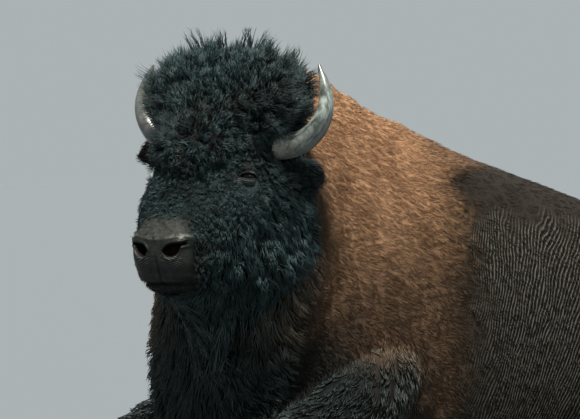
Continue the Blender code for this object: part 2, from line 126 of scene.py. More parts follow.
def follow(places, route):
    """Distance from each place to a route of points, and the way of its nearest stretch."""
    nearest = np.full(len(places), 1e9)
    way = np.zeros_like(places)
    for start, end in zip(route, route[1:]):
        along = end - start
        t = np.clip(((places - start) @ along) / (along @ along), 0, 1)
        gap = np.linalg.norm(places - start - t[:, None] * along, axis=1)
        closer = gap < nearest
        nearest[closer] = gap[closer]
        way[closer] = unit(along)
    return nearest, way


def waves(points, length, seed, count=6):
    """Smooth noise of about -1 to 1, whose swells are about a length apart."""
    draw = np.random.default_rng(seed)
    total = np.zeros(len(points))
    for _ in range(count):
        way = unit(draw.normal(size=3)) * 2 * math.pi / (length * draw.uniform(0.7, 1.5))
        total += np.sin(points @ way + draw.uniform(0, 2 * math.pi))
    return total / (0.6 * count)


def read(items, name, width=3, kind=np.float32):
    """An attribute of all items of a mesh, a row for each."""
    found = np.empty(len(items) * width, kind)
    items.foreach_get(name, found)
    return found.reshape(-1, width)


def places_of(mesh):
    return read(mesh.vertices, "co").astype(float)


def put_places(mesh, places):
    mesh.vertices.foreach_set("co", places.astype(np.float32).ravel())
    mesh.update()


def normals_of(mesh):
    return read(mesh.vertex_normals, "vector").astype(float)


def column_of(mesh, name):
    """A mesh's vertex values under a name."""
    return read(mesh.attributes[name].data, "value", 1)[:, 0].astype(float)


def columns_of(mesh, names):
    return np.stack([column_of(mesh, name) for name in names], 1)


def put_column(mesh, name, values):
    column = mesh.attributes.new(name, "FLOAT", "POINT")
    column.data.foreach_set("value", values.astype(np.float32))


class Web:
    """A mesh's edges, over which values spread from vertex to neighbour."""

    def __init__(self, mesh):
        pairs = read(mesh.edges, "vertices", 2, np.int32)
        self.start = np.concatenate((pairs[:, 0], pairs[:, 1]))
        self.end = np.concatenate((pairs[:, 1], pairs[:, 0]))
        self.count = len(mesh.vertices)
        self.degree = np.maximum(np.bincount(self.start, minlength=self.count), 1)

    def mean(self, values):
        """Each vertex's mean of its neighbours' values."""
        columns = values.reshape(self.count, -1)
        summed = [np.bincount(self.start, column[self.end], self.count) for column in columns.T]
        return (np.array(summed).T / self.degree[:, None]).reshape(values.shape)

    def spread(self, values, rounds):
        """Each vertex's values drawn toward its neighbours', round after round."""
        for _ in range(rounds):
            values = values + 0.6 * (self.mean(values) - values)
        return values

    def fair(self, places, rounds, firm):
        """Smooths a surface and keeps its volume; firm is 1 where it stays as it is."""
        for _ in range(rounds):
            for step in (0.55, -0.57):
                places = places + step * (1.0 - firm)[:, None] * (self.mean(places) - places)
        return places


# ---- Scene tools ---------------------------------------------------------------------------
def choose(piece):
    bpy.ops.object.select_all(action="DESELECT")
    piece.select_set(True)
    bpy.context.view_layer.objects.active = piece


def shown(name, data):
    """A mesh, light or camera as an object in the scene."""
    piece = bpy.data.objects.new(name, data)
    bpy.context.scene.collection.objects.link(piece)
    return piece


def modify(piece, kind, **settings):
    """Puts a modifier on a piece and applies it."""
    modifier = piece.modifiers.new(kind, kind)
    for setting, value in settings.items():
        setattr(modifier, setting, value)
    choose(piece)
    bpy.ops.object.modifier_apply(modifier=modifier.name)


def copied(node, name):
    """A merged copy of a CAD node's mesh as a piece of its own."""
    shape = bmesh.new()
    shape.from_mesh(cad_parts[node].data)
    bmesh.ops.remove_doubles(shape, verts=shape.verts, dist=0.00001)
    mesh = bpy.data.meshes.new(name)
    shape.to_mesh(mesh)
    shape.free()
    return shown(name, mesh)


def joined(made, name):
    """Several objects as one under a name."""
    choose(made[0])
    for extra in made[1:]:
        extra.select_set(True)
    if len(made) > 1:
        bpy.ops.object.join()
    made[0].name = name
    made[0].data.name = name
    return made[0]


def finished(piece, look, slot, *nodes):
    """Gives a piece its material and its place in the model, instead of the nodes it replaces."""
    piece.data.shade_smooth()
    piece.data.materials.clear()
    piece.data.materials.append(look)
    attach(piece, "root")
    if nodes:
        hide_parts(*nodes)


# ---- Shader tools --------------------------------------------------------------------------
class Wire:
    """A socket that takes part in sums."""

    def __init__(self, look, socket):
        self.look = look
        self.socket = socket

    def sum(self, operation, *others, **settings):
        kinds = {"operation": operation, **settings}
        values = dict(enumerate((self, *others)))
        return self.look.node("ShaderNodeMath", kinds, values)

    def __add__(self, other):
        return self.sum("ADD", other)

    __radd__ = __add__

    def __mul__(self, other):
        return self.sum("MULTIPLY", other)

    __rmul__ = __mul__

    def __sub__(self, other):
        return self.sum("SUBTRACT", other)

    def __rsub__(self, other):
        return self.look.node("ShaderNodeMath", {"operation": "SUBTRACT"}, {0: other, 1: self})

    def __truediv__(self, other):
        return self.sum("DIVIDE", other)

    def __pow__(self, other):
        return self.sum("POWER", other)

    def __abs__(self):
        return self.sum("ABSOLUTE")

    def clamped(self):
        return self.sum("ADD", 0.0, use_clamp=True)

    def above(self, low, high):
        """0 below low, 1 above high, with a smooth rise between."""
        kinds = {"interpolation_type": "SMOOTHSTEP"}
        values = {"Value": self, "From Min": low, "From Max": high}
        return self.look.node("ShaderNodeMapRange", kinds, values)

    def below(self, low, high):
        """1 below low, 0 above high, with a smooth fall between."""
        return 1.0 - self.above(low, high)


class Look:
    """A material under construction: its fixed values, then the wires that feed it."""

    def __init__(self, name, **constants):
        self.material = bpy.data.materials.new(name)
        self.material.use_nodes = True
        self.tree = self.material.node_tree
        self.shader = self.tree.nodes["Principled BSDF"]
        for socket, value in constants.items():
            self.shader.inputs[socket.replace("_", " ")].default_value = value

    def node(self, kind, settings=(), values=(), out=0):
        """A new node of a kind, with its settings and its inputs' values or wires."""
        made = self.tree.nodes.new(kind)
        for setting, value in dict(settings).items():
            setattr(made, setting, value)
        for socket, value in dict(values).items():
            target = made.inputs[socket]
            if isinstance(value, Wire):
                self.tree.links.new(value.socket, target)
            else:
                target.default_value = value
        return Wire(self, made.outputs[out])

    def places(self):
        return self.node("ShaderNodeTexCoord", out="Object")

    def parts(self, vector):
        """The three numbers of a vector."""
        made = self.node("ShaderNodeSeparateXYZ", values={0: vector})
        return [Wire(self, output) for output in made.socket.node.outputs]

    def head_places(self):
        """Places in the head's frame."""
        values = {"Vector": self.places(), "Location": HEAD_PLACE, "Rotation": (0.0, 0.0, HEAD_TURN)}
        return self.node("ShaderNodeMapping", {"vector_type": "TEXTURE"}, values)

    def noise(self, scale, detail=3.0, rough=0.55, vector=None):
        values = {"Vector": vector or self.places(), "Scale": scale, "Detail": detail, "Roughness": rough}
        return self.node("ShaderNodeTexNoise", values=values)

    def streaks(self, size, detail=3.0, vector=None):
        """Noise at a scale of its own in each direction."""
        values = {"Vector": vector or self.places(), "Scale": size}
        return self.noise(1.0, detail, 0.6, self.node("ShaderNodeMapping", values=values))

    def mix(self, share, first, second):
        """The first colour where the share is 0, the second where it is 1."""
        kinds = {"data_type": "RGBA"}
        values = {0: share}
        for socket, value in ((6, first), (7, second)):
            values[socket] = value if isinstance(value, Wire) else (*value, 1.0)
        return self.node("ShaderNodeMix", kinds, values, out=2)

    def layers(self, colour, *painted):
        """A colour with others painted over it in turn, each by its share."""
        for share, tint in painted:
            colour = self.mix(share, colour, tint)
        return colour

    def dimmed(self, colour, share):
        kinds = {"operation": "SCALE"}
        return self.node("ShaderNodeVectorMath", kinds, {0: colour, "Scale": share})

    def attribute(self, name):
        return self.node("ShaderNodeAttribute", {"attribute_name": name}, out="Fac")

    def bump(self, height, strength, distance):
        values = {"Height": height, "Strength": strength, "Distance": distance}
        self.feed(Normal=self.node("ShaderNodeBump", values=values))

    def feed(self, **wires):
        """Joins wires to the shader's own inputs."""
        for socket, wire in wires.items():
            self.tree.links.new(wire.socket, self.shader.inputs[socket.replace("_", " ")])


# ---- Regions of the coat -------------------------------------------------------------------
FLESH = [n for n in sorted(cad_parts) if not n.startswith(("horn", "eye", "hoof", "dewclaw"))]
LABELS = ("head", "beard", "neck", "trunk_front", "trunk_middle", "trunk_rear", "ear_left", "ear_right")
LABELS += ("tail", "tail_tuft", "foreleg_upper", "foreleg_lower", "hindleg_upper", "hindleg_lower")
LABEL_COLUMNS = ["label_" + name for name in LABELS]
TRUNK = ("trunk_front", "trunk_middle", "trunk_rear")


def in_nodes(labels, *names):
    """How far each place belongs to any of some kinds of node."""
    return labels[:, [LABELS.index(name) for name in names]].sum(1)


def label_of(node):
    """The kind of node, where a left and a right leg are of one kind."""
    plain = node.replace("_left", "").replace("_right", "") if "leg" in node else node
    return LABELS.index(plain)


# Each region's coat: depth of the coat over the skin, spacing of its tufts, their length, half
# width, lift in degrees, how far they bend back down, curl, gathering into locks, spread of the
# locks in degrees, and how bright a tuft is at its root against its tip, its darker root being
# painted shade within the coat
REGIONS = {
    "flank": (0.003, 0.0084, 0.026, 0.0013, 10, 0.6, 0.0004, 0.35, 10, 0.60),
    "cape": (0.009, 0.0043, 0.030, 0.0010, 24, 0.70, 0.0024, 0.20, 15, 0.86),
    "mantle": (0.015, 0.0086, 0.052, 0.0021, 32, 0.8, 0.0042, 0.7, 20, 0.35),
    "belly": (0.003, 0.0200, 0.025, 0.0018, 8, 0.6, 0.001, 0.2, 15, 0.5),
    "rump": (0.003, 0.0086, 0.026, 0.0013, 10, 0.6, 0.0006, 0.35, 12, 0.60),
    "chaps": (0.012, 0.0098, 0.050, 0.0023, 28, 0.8, 0.0032, 0.6, 16, 0.35),
    "shank": (0.002, 0.0066, 0.013, 0.0011, 10, 0.5, 0.0004, 0.1, 10, 0.5),
    "tail": (0.002, 0.0080, 0.020, 0.0013, 10, 0.6, 0.0004, 0.2, 10, 0.5),
    "switch": (0.012, 0.0062, 0.060, 0.0022, 12, 0.7, 0.0030, 0.6, 12, 0.35),
    "ear": (0.003, 0.0058, 0.024, 0.0012, 24, 0.5, 0.0014, 0.5, 16, 0.4),
    "face": (0.007, 0.0043, 0.022, 0.0013, 34, 0.6, 0.0032, 0.62, 34, 0.25),
    "cheek": (0.013, 0.0052, 0.040, 0.0015, 36, 0.75, 0.0044, 0.75, 20, 0.22),
    "jaw": (0.020, 0.0064, 0.066, 0.0019, 36, 0.85, 0.0060, 0.78, 20, 0.22),
    "beard": (0.018, 0.0075, 0.120, 0.0027, 20, 0.7, 0.0060, 0.8, 12, 0.25),
    "brow": (0.012, 0.0044, 0.031, 0.0014, 46, 0.60, 0.0060, 0.78, 52, 0.18),
    "bonnet": (0.033, 0.0045, 0.058, 0.0014, 50, 0.45, 0.0070, 0.74, 30, 0.20),
    "muzzle": (0.0015, 0.0036, 0.011, 0.0009, 26, 0.5, 0.0008, 0.55, 26, 0.25),
    "bare": (0.000, 0.5000, 0.004, 0.0009, 10, 0.4, 0.0, 0.0, 0, 1.0),
}
DEPTH, SPACING, LENGTH, WIDTH, LIFT, BEND, CURL, GATHER, SPREAD, ROOT_SHADE = range(10)
NAMES = list(REGIONS)
TABLE = np.array([REGIONS[name] for name in NAMES], float)


def in_regions(share, *names):
    """The shares of some regions, a column for each."""
    return share[:, [NAMES.index(name) for name in names]]


def regions_at(places, normals, labels):
    """Shares of each region at each place, painted over one another in order."""
    head = to_head(places)
    hx, hy, hz = head.T
    side = np.abs(hy)
    x, _, z = places.T
    share = in_regions(np.eye(len(NAMES)), "flank").T.repeat(len(places), 0)
    part = dict(zip(LABELS, labels.T))

    def paint(name, mask):
        mask = np.clip(mask, 0, 1)[:, None]
        share[:] *= 1 - mask
        share[:, NAMES.index(name)] += mask[:, 0]

    # The cape ends further back toward the topline
    edge = -0.11 + 0.075 * ease(z, 0.52, 0.75) + 0.10 * ease(z, 0.86, 0.92)
    edge = edge + 0.02 * waves(places, 0.16, 3) + 0.03 * waves(places, 0.07, 4)
    paint("cape", 1 - ease(x, edge - 0.07, edge + 0.10))
    paint("rump", ease(x, 0.59, 0.71))
    paint("belly", ease(-normals[:, 2], 0.55, 0.85) * ease(0.10 - z, -0.04, 0.04))
    paint("mantle", part["neck"] * (1 - ease(z, 0.60, 0.80)))
    brisket = ease(-0.63 - x, 0.0, 0.14) * ease(0.62 - z, 0.0, 0.2) * part["trunk_front"]
    paint("mantle", brisket)
    paint("chaps", part["foreleg_upper"])
    paint("rump", part["hindleg_upper"])
    paint("shank", part["foreleg_lower"] + part["hindleg_lower"])
    paint("tail", part["tail"])
    paint("switch", part["tail_tuft"])
    paint("face", part["head"])
    paint("cheek", part["head"] * ease(0.125 - hx, -0.045, 0.03))
    paint("jaw", part["head"] * ease(-0.225 - hz, -0.05, 0.05) * ease(0.27 - hx, -0.03, 0.06))
    paint("beard", part["beard"])
    front = ease(hx, 0.10, 0.18)
    paint("brow", part["head"] * ease(hz, -0.13, -0.03) * ease(0.36 - hx, 0, 0.06))
    line = 0.028 - 0.03 * front
    paint("bonnet", part["head"] * ease(hz, line - 0.02, line + 0.04))
    forward = hx + 0.20 * (-0.22 - hz) - 0.5 * np.maximum(side - 0.075, 0)
    paint("muzzle", part["head"] * ease(forward, 0.330, 0.370))
    paint("bare", pad_share(head) ** 3 * part["head"])
    paint("ear", part["ear_left"] + part["ear_right"])
    return share


def rim_height(head):
    """The height of the pad's upper rim, which dips in the middle and rises over each nostril."""
    rise = 0.009 * ease(np.abs(head[:, 1]), 0.020, 0.075) - 0.003
    return RIM_HEIGHT + rise + 0.0016 * waves(head, 0.022, 64)


def pad_share(head):
    """1 on the bare pad of the nose, 0 off it."""
    hx, hy, hz = head.T
    front = 0.348 + 0.28 * np.maximum(-0.31 - hz, 0.0) + 0.006 * waves(head, 0.030, 63)
    front = front + 0.8 * np.maximum(np.abs(hy) - 0.080, 0)
    below = ease(rim_height(head) - hz, -0.003, 0.003)
    return below * ease(hx - front, -0.020, 0.020) * ease(hz, -0.396, -0.388)


def ridge_way(x):
    """How far the ridges of the flank lean back."""
    return 0.30 + 0.60 * ease(x, 0.0, 0.45)


def ridge_along(places):
    """How far back each place lies, measured across the leaning ridges."""
    x, _, z = places.T
    along = x - ridge_way(x) * (z - 0.60) + 0.05
    return np.maximum(along + 0.008 * waves(places, 0.15, 31) + 0.0030 * waves(places, 0.05, 32), -0.3)


def ridge_phase(places):
    """Turns from ridge to ridge of the short flank coat."""
    return RIDGE_TURNS * np.log(1 + RIDGE_WIDENS * ridge_along(places))


def ridged(places, labels):
    """Where the flank coat is drawn into ridges."""
    x, _, z = places.T
    reach = ease(x + 0.04 * waves(places, 0.1, 33), -0.15, 0.06) * (1 - ease(x, 0.62, 0.84))
    top = 0.80 + 0.03 * waves(places, 0.12, 34)
    flat = in_nodes(labels, *TRUNK)
    worn = 0.72 + 0.28 * np.clip(waves(places, 0.07, 35) * 1.5 + 0.4, 0, 1)
    return reach * (1 - ease(z, top - 0.10, top)) * ease(z, 0.06, 0.14) * np.clip(flat, 0, 1) * worn


def far_side(head, share):
    """How much a place is on the right side of bonnet, brow and face, whose wool stands out further."""
    hx, hy, hz = head.T
    reach = ease(-hy, 0.05, 0.12) * ease(hx, -0.10, 0.02) * ease(0.24 - hz, 0.0, 0.1)
    reach = reach * ease(hz, -0.22, -0.15) * (0.03 + 0.97 * ease(-hz, -0.02, 0.04))
    return reach * in_regions(share, "bonnet", "brow", "face").sum(1)


# ---- Skin ----------------------------------------------------------------------------------
# How far the wool's lumps rise in each woolly region
LUMPS = {"bonnet": 0.0090, "brow": 0.0075, "face": 0.0030, "cheek": 0.0060, "jaw": 0.0080, "cape": 0.0030}
# Balls that fill the sockets of the head, given for its left side: middle and radius
SOCKETS = {
    "horn": ((0.0, 0.105, 0.006), 0.056),
    "eye": ((0.146, 0.132, -0.090), 0.036),
    "nostril": ((0.352, 0.046, -0.292), 0.050),
}
# Swellings and hollows of the head, given for its left side: middle, reach along each axis, height
BULK = {
    "brow": ((0.180, 0.118, -0.050), (0.060, 0.04, 0.022), 0.010),
    "side of the face": ((0.255, 0.060, -0.110), (0.035, 0.03, 0.035), -0.011),
    "cheekbone": ((0.215, 0.110, -0.165), (0.060, 0.04, 0.030), 0.007),
    "behind the muzzle": ((0.330, 0.085, -0.215), (0.045, 0.03, 0.030), -0.006),
    "over the nostril": ((0.370, 0.080, -0.262), (0.030, 0.03, 0.018), 0.006),
    "behind the nostril": ((0.335, 0.105, -0.300), (0.022, 0.03, 0.040), -0.007),
    "bridge of the nose": ((0.345, 0.0, -0.175), (0.060, 0.03, 0.04), -0.003),
}
# Soft creases of the head, given for its left side: points along each, width and depth
CREASES = {
    "over the eye": (
        ((0.240, 0.085, -0.060), (0.205, 0.115, -0.048), (0.165, 0.140, -0.028)), 0.010, 0.009
    ),
    "behind the eye": (
        ((0.112, 0.165, -0.082), (0.112, 0.168, -0.105), (0.120, 0.170, -0.135)), 0.009, 0.011
    ),
}
# The ears' hollows: root, tip and the way each opens
EARS = {
    "ear_right": ((-0.100, -0.150, -0.035), (-0.048, -0.352, -0.048), (1.0, 0.3, -0.1)),
    "ear_left": ((-0.040, 0.150, -0.052), (-0.150, 0.216, -0.114), (-0.2, 0.9, -0.3)),
}
SKIN_OUT = 0.0012  # how far the skin stands over the nodes of flesh


def flesh_form():
    """All flesh as one closed surface, and a lookup of the nearest node's kind."""
    shape = bmesh.new()
    owners, triangles, corners = [], [], []
    for node in FLESH:
        piece = copied(node, "flesh")
        mesh = piece.data
        places = places_of(mesh)
        put_places(mesh, places + SKIN_OUT * normals_of(mesh))
        shape.from_mesh(mesh)
        start = len(corners)
        corners.extend(places.tolist())
        for face in mesh.polygons:
            triangles.append([start + i for i in face.vertices])
            owners.append(label_of(node))
        bpy.data.objects.remove(piece, do_unlink=True)
    for turn in SIDES:
        for middle, size in SOCKETS.values():
            ball = HEAD @ Matrix.Translation(middle * turn) @ Matrix.Diagonal((size, size, size, 1.0))
            bmesh.ops.create_uvsphere(shape, u_segments=20, v_segments=14, radius=1.0, matrix=ball)
    mesh = bpy.data.meshes.new("skin")
    shape.to_mesh(mesh)
    shape.free()
    piece = shown("skin", mesh)
    modify(piece, "REMESH", mode="VOXEL", voxel_size=SKIN_VOXEL)
    return piece, BVHTree.FromPolygons(corners, triangles), np.array(owners)


def largest_body(piece):
    """Drops what the surface holds shut inside it."""
    shape = bmesh.new()
    shape.from_mesh(piece.data)
    left = set(shape.verts)
    bodies = []
    while left:
        body = [left.pop()]
        for vert in body:
            for edge in vert.link_edges:
                other = edge.other_vert(vert)
                if other in left:
                    left.remove(other)
                    body.append(other)
        bodies.append(body)
    bodies.sort(key=len)
    for body in bodies[:-1]:
        bmesh.ops.delete(shape, geom=body, context="VERTS")
    shape.to_mesh(piece.data)
    shape.free()


def bulk(places, normals):
    """The large forms and creases of the head under its coat."""
    head = to_head(places)
    normals = normals @ TURN
    for middle, sizes, height in BULK.values():
        for turn in SIDES[: 2 if middle[1] else 1]:
            apart = (head - middle * turn) / np.array(sizes)
            head = head + height * np.exp(-2.0 * (apart**2).sum(1))[:, None] * normals
    for points, width, depth in CREASES.values():
        for turn in SIDES:
            gap, _ = follow(head, points * turn)
            head = head - (depth * bell(np.maximum(gap - 0.012, 0.0), 0.0, width))[:, None] * normals
    return from_head(head)


def narrowed(places, share):
    """Draws the beard's flesh in and up, so that its hair hangs from it."""
    head = to_head(places)
    hx, hy, hz = head.T
    down = ease(-hz, 0.30, 0.58) * share
    hx = hx + (0.13 - hx) * 0.42 * down
    hy = hy * (1 - 0.45 * down)
    hz = hz + np.maximum(-0.40 - hz, 0.0) * 0.42 * share
    return from_head(ways(hx, hy, hz))


def refine(piece, chosen):
    """Divides the faces that a test on places in the head's frame picks."""
    picked = chosen(to_head(places_of(piece.data)))
    shape = bmesh.new()
    shape.from_mesh(piece.data)
    shape.verts.ensure_lookup_table()
    edges = [e for e in shape.edges if picked[e.verts[0].index] and picked[e.verts[1].index]]
    bmesh.ops.subdivide_edges(shape, edges=edges, cuts=1, use_grid_fill=True)
    shape.to_mesh(piece.data)
    shape.free()


def axes(turn, *directions):
    """Directions of the left side, turned to a side, as columns."""
    return np.stack([direction * turn for direction in directions], 1)


def lidded(head):
    """Forms the lids over each eye, their folds and the opening between them."""
    lids, slit = np.zeros((2, len(head)))
    for turn in SIDES:
        u, w, out = ((head - EYE * turn) @ axes(turn, EYE_FRONT, EYE_UP, GAZE)).T
        reach, off = np.hypot(u, w), np.abs(u)
        close = (reach < 0.075) & (out > -0.06)
        # The edges of the two lids, and how far inside the opening each place lies
        arch = np.clip(1 - (u / EYE_HALF) ** 2, 0, 1)
        upper = 0.0116 * arch**0.6 + 0.05 * u
        lower = -0.0048 * arch**0.8 + 0.05 * u
        inside = np.minimum(np.minimum(upper - w, w - lower), (EYE_HALF - off) * 0.5)
        # The lids lie on the ball and run out flat beyond it
        ball = np.sqrt(np.clip((EYE_RADIUS + 0.0040) ** 2 - reach**2, 1e-6, None))
        flat = 0.0155 - 0.18 * np.maximum(u, 0) - 0.30 * np.maximum(-u, 0)
        ball = np.maximum(ball, flat - 3.0 * np.maximum(reach - 0.018, 0) ** 1.5)
        hood = 0.0042 * bell(w - upper, 0.0036, 0.0040) * ease(0.036 - off, 0, 0.012)
        arch_wide = np.clip(1 - ((u + 0.002) / 0.036) ** 2, 0, 1) ** 0.6
        fold_line = -0.004 + 0.0215 * arch_wide + 0.10 * u
        fold = -0.0042 * bell(w, fold_line, 0.0024) * ease(0.038 - off, 0, 0.008)
        over = 0.0050 * bell(w - fold_line, 0.0085, 0.0060) * ease(0.044 - off, 0, 0.02)
        # The bag under the eye and its pleats
        under = np.clip((lower - w) / 0.021, 0, 1)
        forward = ease(0.040 - np.abs(u - 0.008), 0, 0.018)
        pleats = np.sin((lower - w) * 2 * math.pi / LID_PLEAT + 9 * u)
        bag = (0.0022 + 0.0019 * pleats) * np.sin(math.pi * under) * forward
        lid = ball + hood + fold + bag
        blend = ease(0.042 - reach, 0.0, 0.018)
        held = out + blend * (lid - out) + over * (1 - blend * 0.3)
        # The opening sinks to the eyeball
        depth = np.sqrt(np.clip(EYE_RADIUS**2 - reach**2, 0, None)) - 0.006
        held = held + ease(inside, -0.0002, 0.0026) * (depth - held)
        head = head + np.where(close, held - out, 0.0)[:, None] * (GAZE * turn)
        # Pale bare skin under the eye, lighter on the crests of its pleats as painted highlight, and a
        # painted highlight along the upper lid
        below = close * np.sin(math.pi * np.clip(under * 0.9 + 0.08, 0, 1)) * forward * (w < lower)
        above = close * bell(w - upper, 0.0036, 0.0022) * ease(-u, -0.004, 0.010)
        above = above * ease(0.030 - off, 0, 0.008)
        lids = np.maximum(lids, below * (0.56 + 0.44 * pleats) + 0.7 * above)
        slit = np.maximum(slit, close * ease(inside, -0.0060, -0.0020))
    return head, lids, slit


def nosed(head):
    """Forms the nostrils, the pad's edge, the groove of the upper lip and the line of the mouth."""
    hollow = np.zeros(len(head))
    along = unit(NOSTRIL_ALONG - NOSTRIL_OUT * (NOSTRIL_ALONG @ NOSTRIL_OUT))
    across = np.cross(NOSTRIL_OUT, along)
    for turn in SIDES:
        u, w, out = ((head - NOSTRIL * turn) @ axes(turn, along, across, NOSTRIL_OUT)).T
        # A round bowl that narrows to a slit along the wing
        bowl = np.sqrt(np.clip(1 - ((u + 0.004) / 0.031) ** 2, 0, 1))
        top = 0.0125 - 19.2 * np.minimum(u + 0.006, 0) ** 2 + 0.05 * u
        bottom = 0.0125 - 0.037 * bowl * (1 - 0.10 * u / 0.03)
        inside = np.minimum(top - w, w - bottom) - 0.004 * (1 - bowl)
        wing = 0.0042 - np.abs(w - 0.0070 - 0.12 * (u - 0.022))
        wing = np.minimum(wing, np.minimum(u - 0.015, 0.043 - u) * 0.5)
        inside = np.where(np.abs(out) < 0.05, np.maximum(inside, wing), -1.0)
        push = -0.030 * ease(inside, -0.0015, 0.0085) + 0.0036 * bell(inside, -0.0055, 0.0040)
        head = head + push[:, None] * (NOSTRIL_OUT * turn)
        # The nostril's hollow, whose reddish lining the skin darkens as painted shade
        hollow = np.maximum(hollow, ease(inside, -0.0010, 0.0030))
    hx, hy, hz = head.T
    over_rim = hz - rim_height(head)
    ledge = bell(over_rim, 0.004, 0.006) * ease(hx, 0.34, 0.38)
    groove = bell(hy, 0.0, 0.004) * ease(-0.300 - hz, 0, 0.03) * ease(hz, -0.40, -0.385)
    groove = groove * ease(hx, 0.33, 0.37)
    over_mouth = hz + 0.390 - 0.10 * np.clip(0.38 - hx, 0, 0.14)
    mouth = bell(over_mouth, 0.0, 0.0040) * ease(hx, 0.235, 0.275)
    lips = bell(over_mouth, 0.016, 0.011) + 0.8 * bell(over_mouth, -0.014, 0.010)
    lips = lips * ease(hx, 0.25, 0.32)
    outward = unit(ways(hx - MUZZLE_MIDDLE, hy, 0.0))
    move = 0.0034 * lips - 0.0085 * mouth + 0.0030 * ledge - 0.005 * groove
    head = head + move[:, None] * outward
    # Fine folds under each nostril
    crinkle = bell(hy, 0.050, 0.030) + bell(hy, -0.050, 0.030)
    crinkle = crinkle * bell(hx, 0.402, 0.03) * bell(hz, -0.320, 0.017)
    folds = np.sin((hz + 0.35 * np.abs(hy)) * 2 * math.pi / 0.0062 + 1.2 * waves(head, 0.02, 61))
    folds = folds + 0.5 * waves(head, 0.009, 62)
    head = head + (0.0020 * crinkle * folds)[:, None] * outward
    # The pale folds are lighter on their crests, as painted highlight
    crinkle = crinkle * np.clip(0.45 + 0.55 * folds, 0, 1) * (1 - hollow)
    # The pale line along the pad's upper rim, pale pebbly skin lightened further as painted highlight
    rim = bell(over_rim, -0.001, 0.0034) * ease(hx, 0.345, 0.385)
    return head, hollow, crinkle, rim * (1 - hollow)


def gap_from(middle, head):
    """Distance from a place on either side of the head."""
    hx, hy, hz = head.T
    return np.linalg.norm(ways(hx, np.abs(hy), hz) - middle, axis=1)


def near(middle, head, reach):
    """Whether places lie within reach of one on either side of the head."""
    return gap_from(middle, head) < reach


def near_rim(head):
    return (head[:, 0] > 0.335) & (np.abs(head[:, 2] - RIM_HEIGHT) < 0.020)


def on_face(head):
    hx, hy, hz = head.T
    return (hx > 0.04) & (hz < 0.06) & (hz > -0.46) & (np.abs(hy) < 0.3)


def on_muzzle(head):
    hx, _, hz = head.T
    return (hx > 0.29) & (hz > -0.45) & (hz < -0.15)


def cupped(places, labels):
    """Hollows the ears' inner sides."""
    head = to_head(places)
    for name, points in EARS.items():
        root, tip, facing = np.array(points)
        axis = unit(tip - root)
        facing = unit(facing - axis * (facing @ axis))
        apart = head - root
        along = apart @ axis
        middle = apart - np.outer(along, axis)
        out = middle @ facing
        off = np.linalg.norm(middle - np.outer(out, facing), axis=1)
        along = along / np.linalg.norm(tip - root)
        dip = ease(out, 0.0, 0.010) * ease(0.026 - off, 0.0, 0.014) * in_nodes(labels, name)
        dip = dip * ease(along, 0.15, 0.4) * ease(1.0 - along, 0.05, 0.25)
        head = head - (0.016 * dip)[:, None] * facing
    return from_head(head)


def rounded(mesh, web, labels):
    """The surface with the solids' flat faces smoothed away, most of all over the trunk."""
    thin = in_nodes(labels, "ear_left", "ear_right", "tail", "tail_tuft")
    shank = in_nodes(labels, "foreleg_lower", "hindleg_lower")
    firm = web.spread(np.clip(thin * 0.85 + shank * 0.6, 0, 1), 3)
    places = web.fair(places_of(mesh), 14, firm)
    trunk = web.spread(in_nodes(labels, "neck", *TRUNK), 6) * ease(places[:, 2], 0.10, 0.20)
    return places + (trunk**2)[:, None] * (web.spread(places, 26) - places), firm


def build_skin():
    """One skin over all flesh, drawn in by the depth of the coat that it carries."""
    piece, lookup, owners = flesh_form()
    largest_body(piece)
    mesh = piece.data
    web = Web(mesh)
    found = [lookup.find_nearest(place)[2] for place in places_of(mesh).tolist()]
    labels = np.eye(len(LABELS))[owners[found]]
    places, firm = rounded(mesh, web, labels)
    labels = web.spread(labels, 5)
    put_places(mesh, places)
    normals = unit(web.spread(normals_of(mesh), 6))
    share = regions_at(places, normals, labels)
    head = to_head(places)
    crown = ease(head[:, 2], 0.12, 0.22) * in_regions(share, "bonnet")[:, 0]
    depth = share @ TABLE[:, DEPTH] * (1 + 0.38 * crown) * (1 - 0.75 * far_side(head, share))
    beard = web.spread(in_nodes(labels, "head", "beard"), 6)
    places = narrowed(places, np.clip(beard, 0, 1))
    on_floor = ease(0.03 - places[:, 2], 0.0, 0.02) * ease(-normals[:, 2], 0.3, 0.7)
    places = places - (web.spread(depth, 8) * (1 - on_floor))[:, None] * normals
    places = web.fair(places, 4, firm)
    lumpy = in_regions(share, *LUMPS) @ tuple(LUMPS.values())
    lumps = waves(places, 0.085, 51) + 0.6 * waves(places, 0.045, 52)
    places = places + (web.spread(lumpy, 4) * lumps)[:, None] * normals
    put_places(mesh, cupped(bulk(places, normals), labels))
    for name, column in zip(LABEL_COLUMNS, labels.T):
        put_column(mesh, name, column)
    refine(piece, on_face)
    refine(piece, lambda h: near(EYE, h, 0.090) | on_muzzle(h))
    refine(piece, lambda h: near(EYE, h, 0.060) | near(NOSTRIL, h, 0.056) | near_rim(h))
    detailed(piece.data)
    return piece


def detailed(mesh):
    """Forms lids, nostrils and mouth, and keeps the columns that the looks and the coat read."""
    places = places_of(mesh)
    places = Web(mesh).fair(places, 4, np.where(to_head(places)[:, 0] > 0.02, 0.0, 1.0))
    head, lids, slit = lidded(to_head(places))
    head, hollow, crinkle, rim = nosed(head)
    places = from_head(head)
    places[:, 2] = np.maximum(places[:, 2], 0.0008)
    put_places(mesh, places)
    for name, values in (
        ("lids", lids),
        ("slit", slit),
        ("hollow", hollow),
        ("crinkle", crinkle),
        ("pad", pad_share(head)),
        ("rim", rim),
        ("turns", ridge_phase(places)),
        ("ridged", ridged(places, columns_of(mesh, LABEL_COLUMNS))),
    ):
        put_column(mesh, name, values)


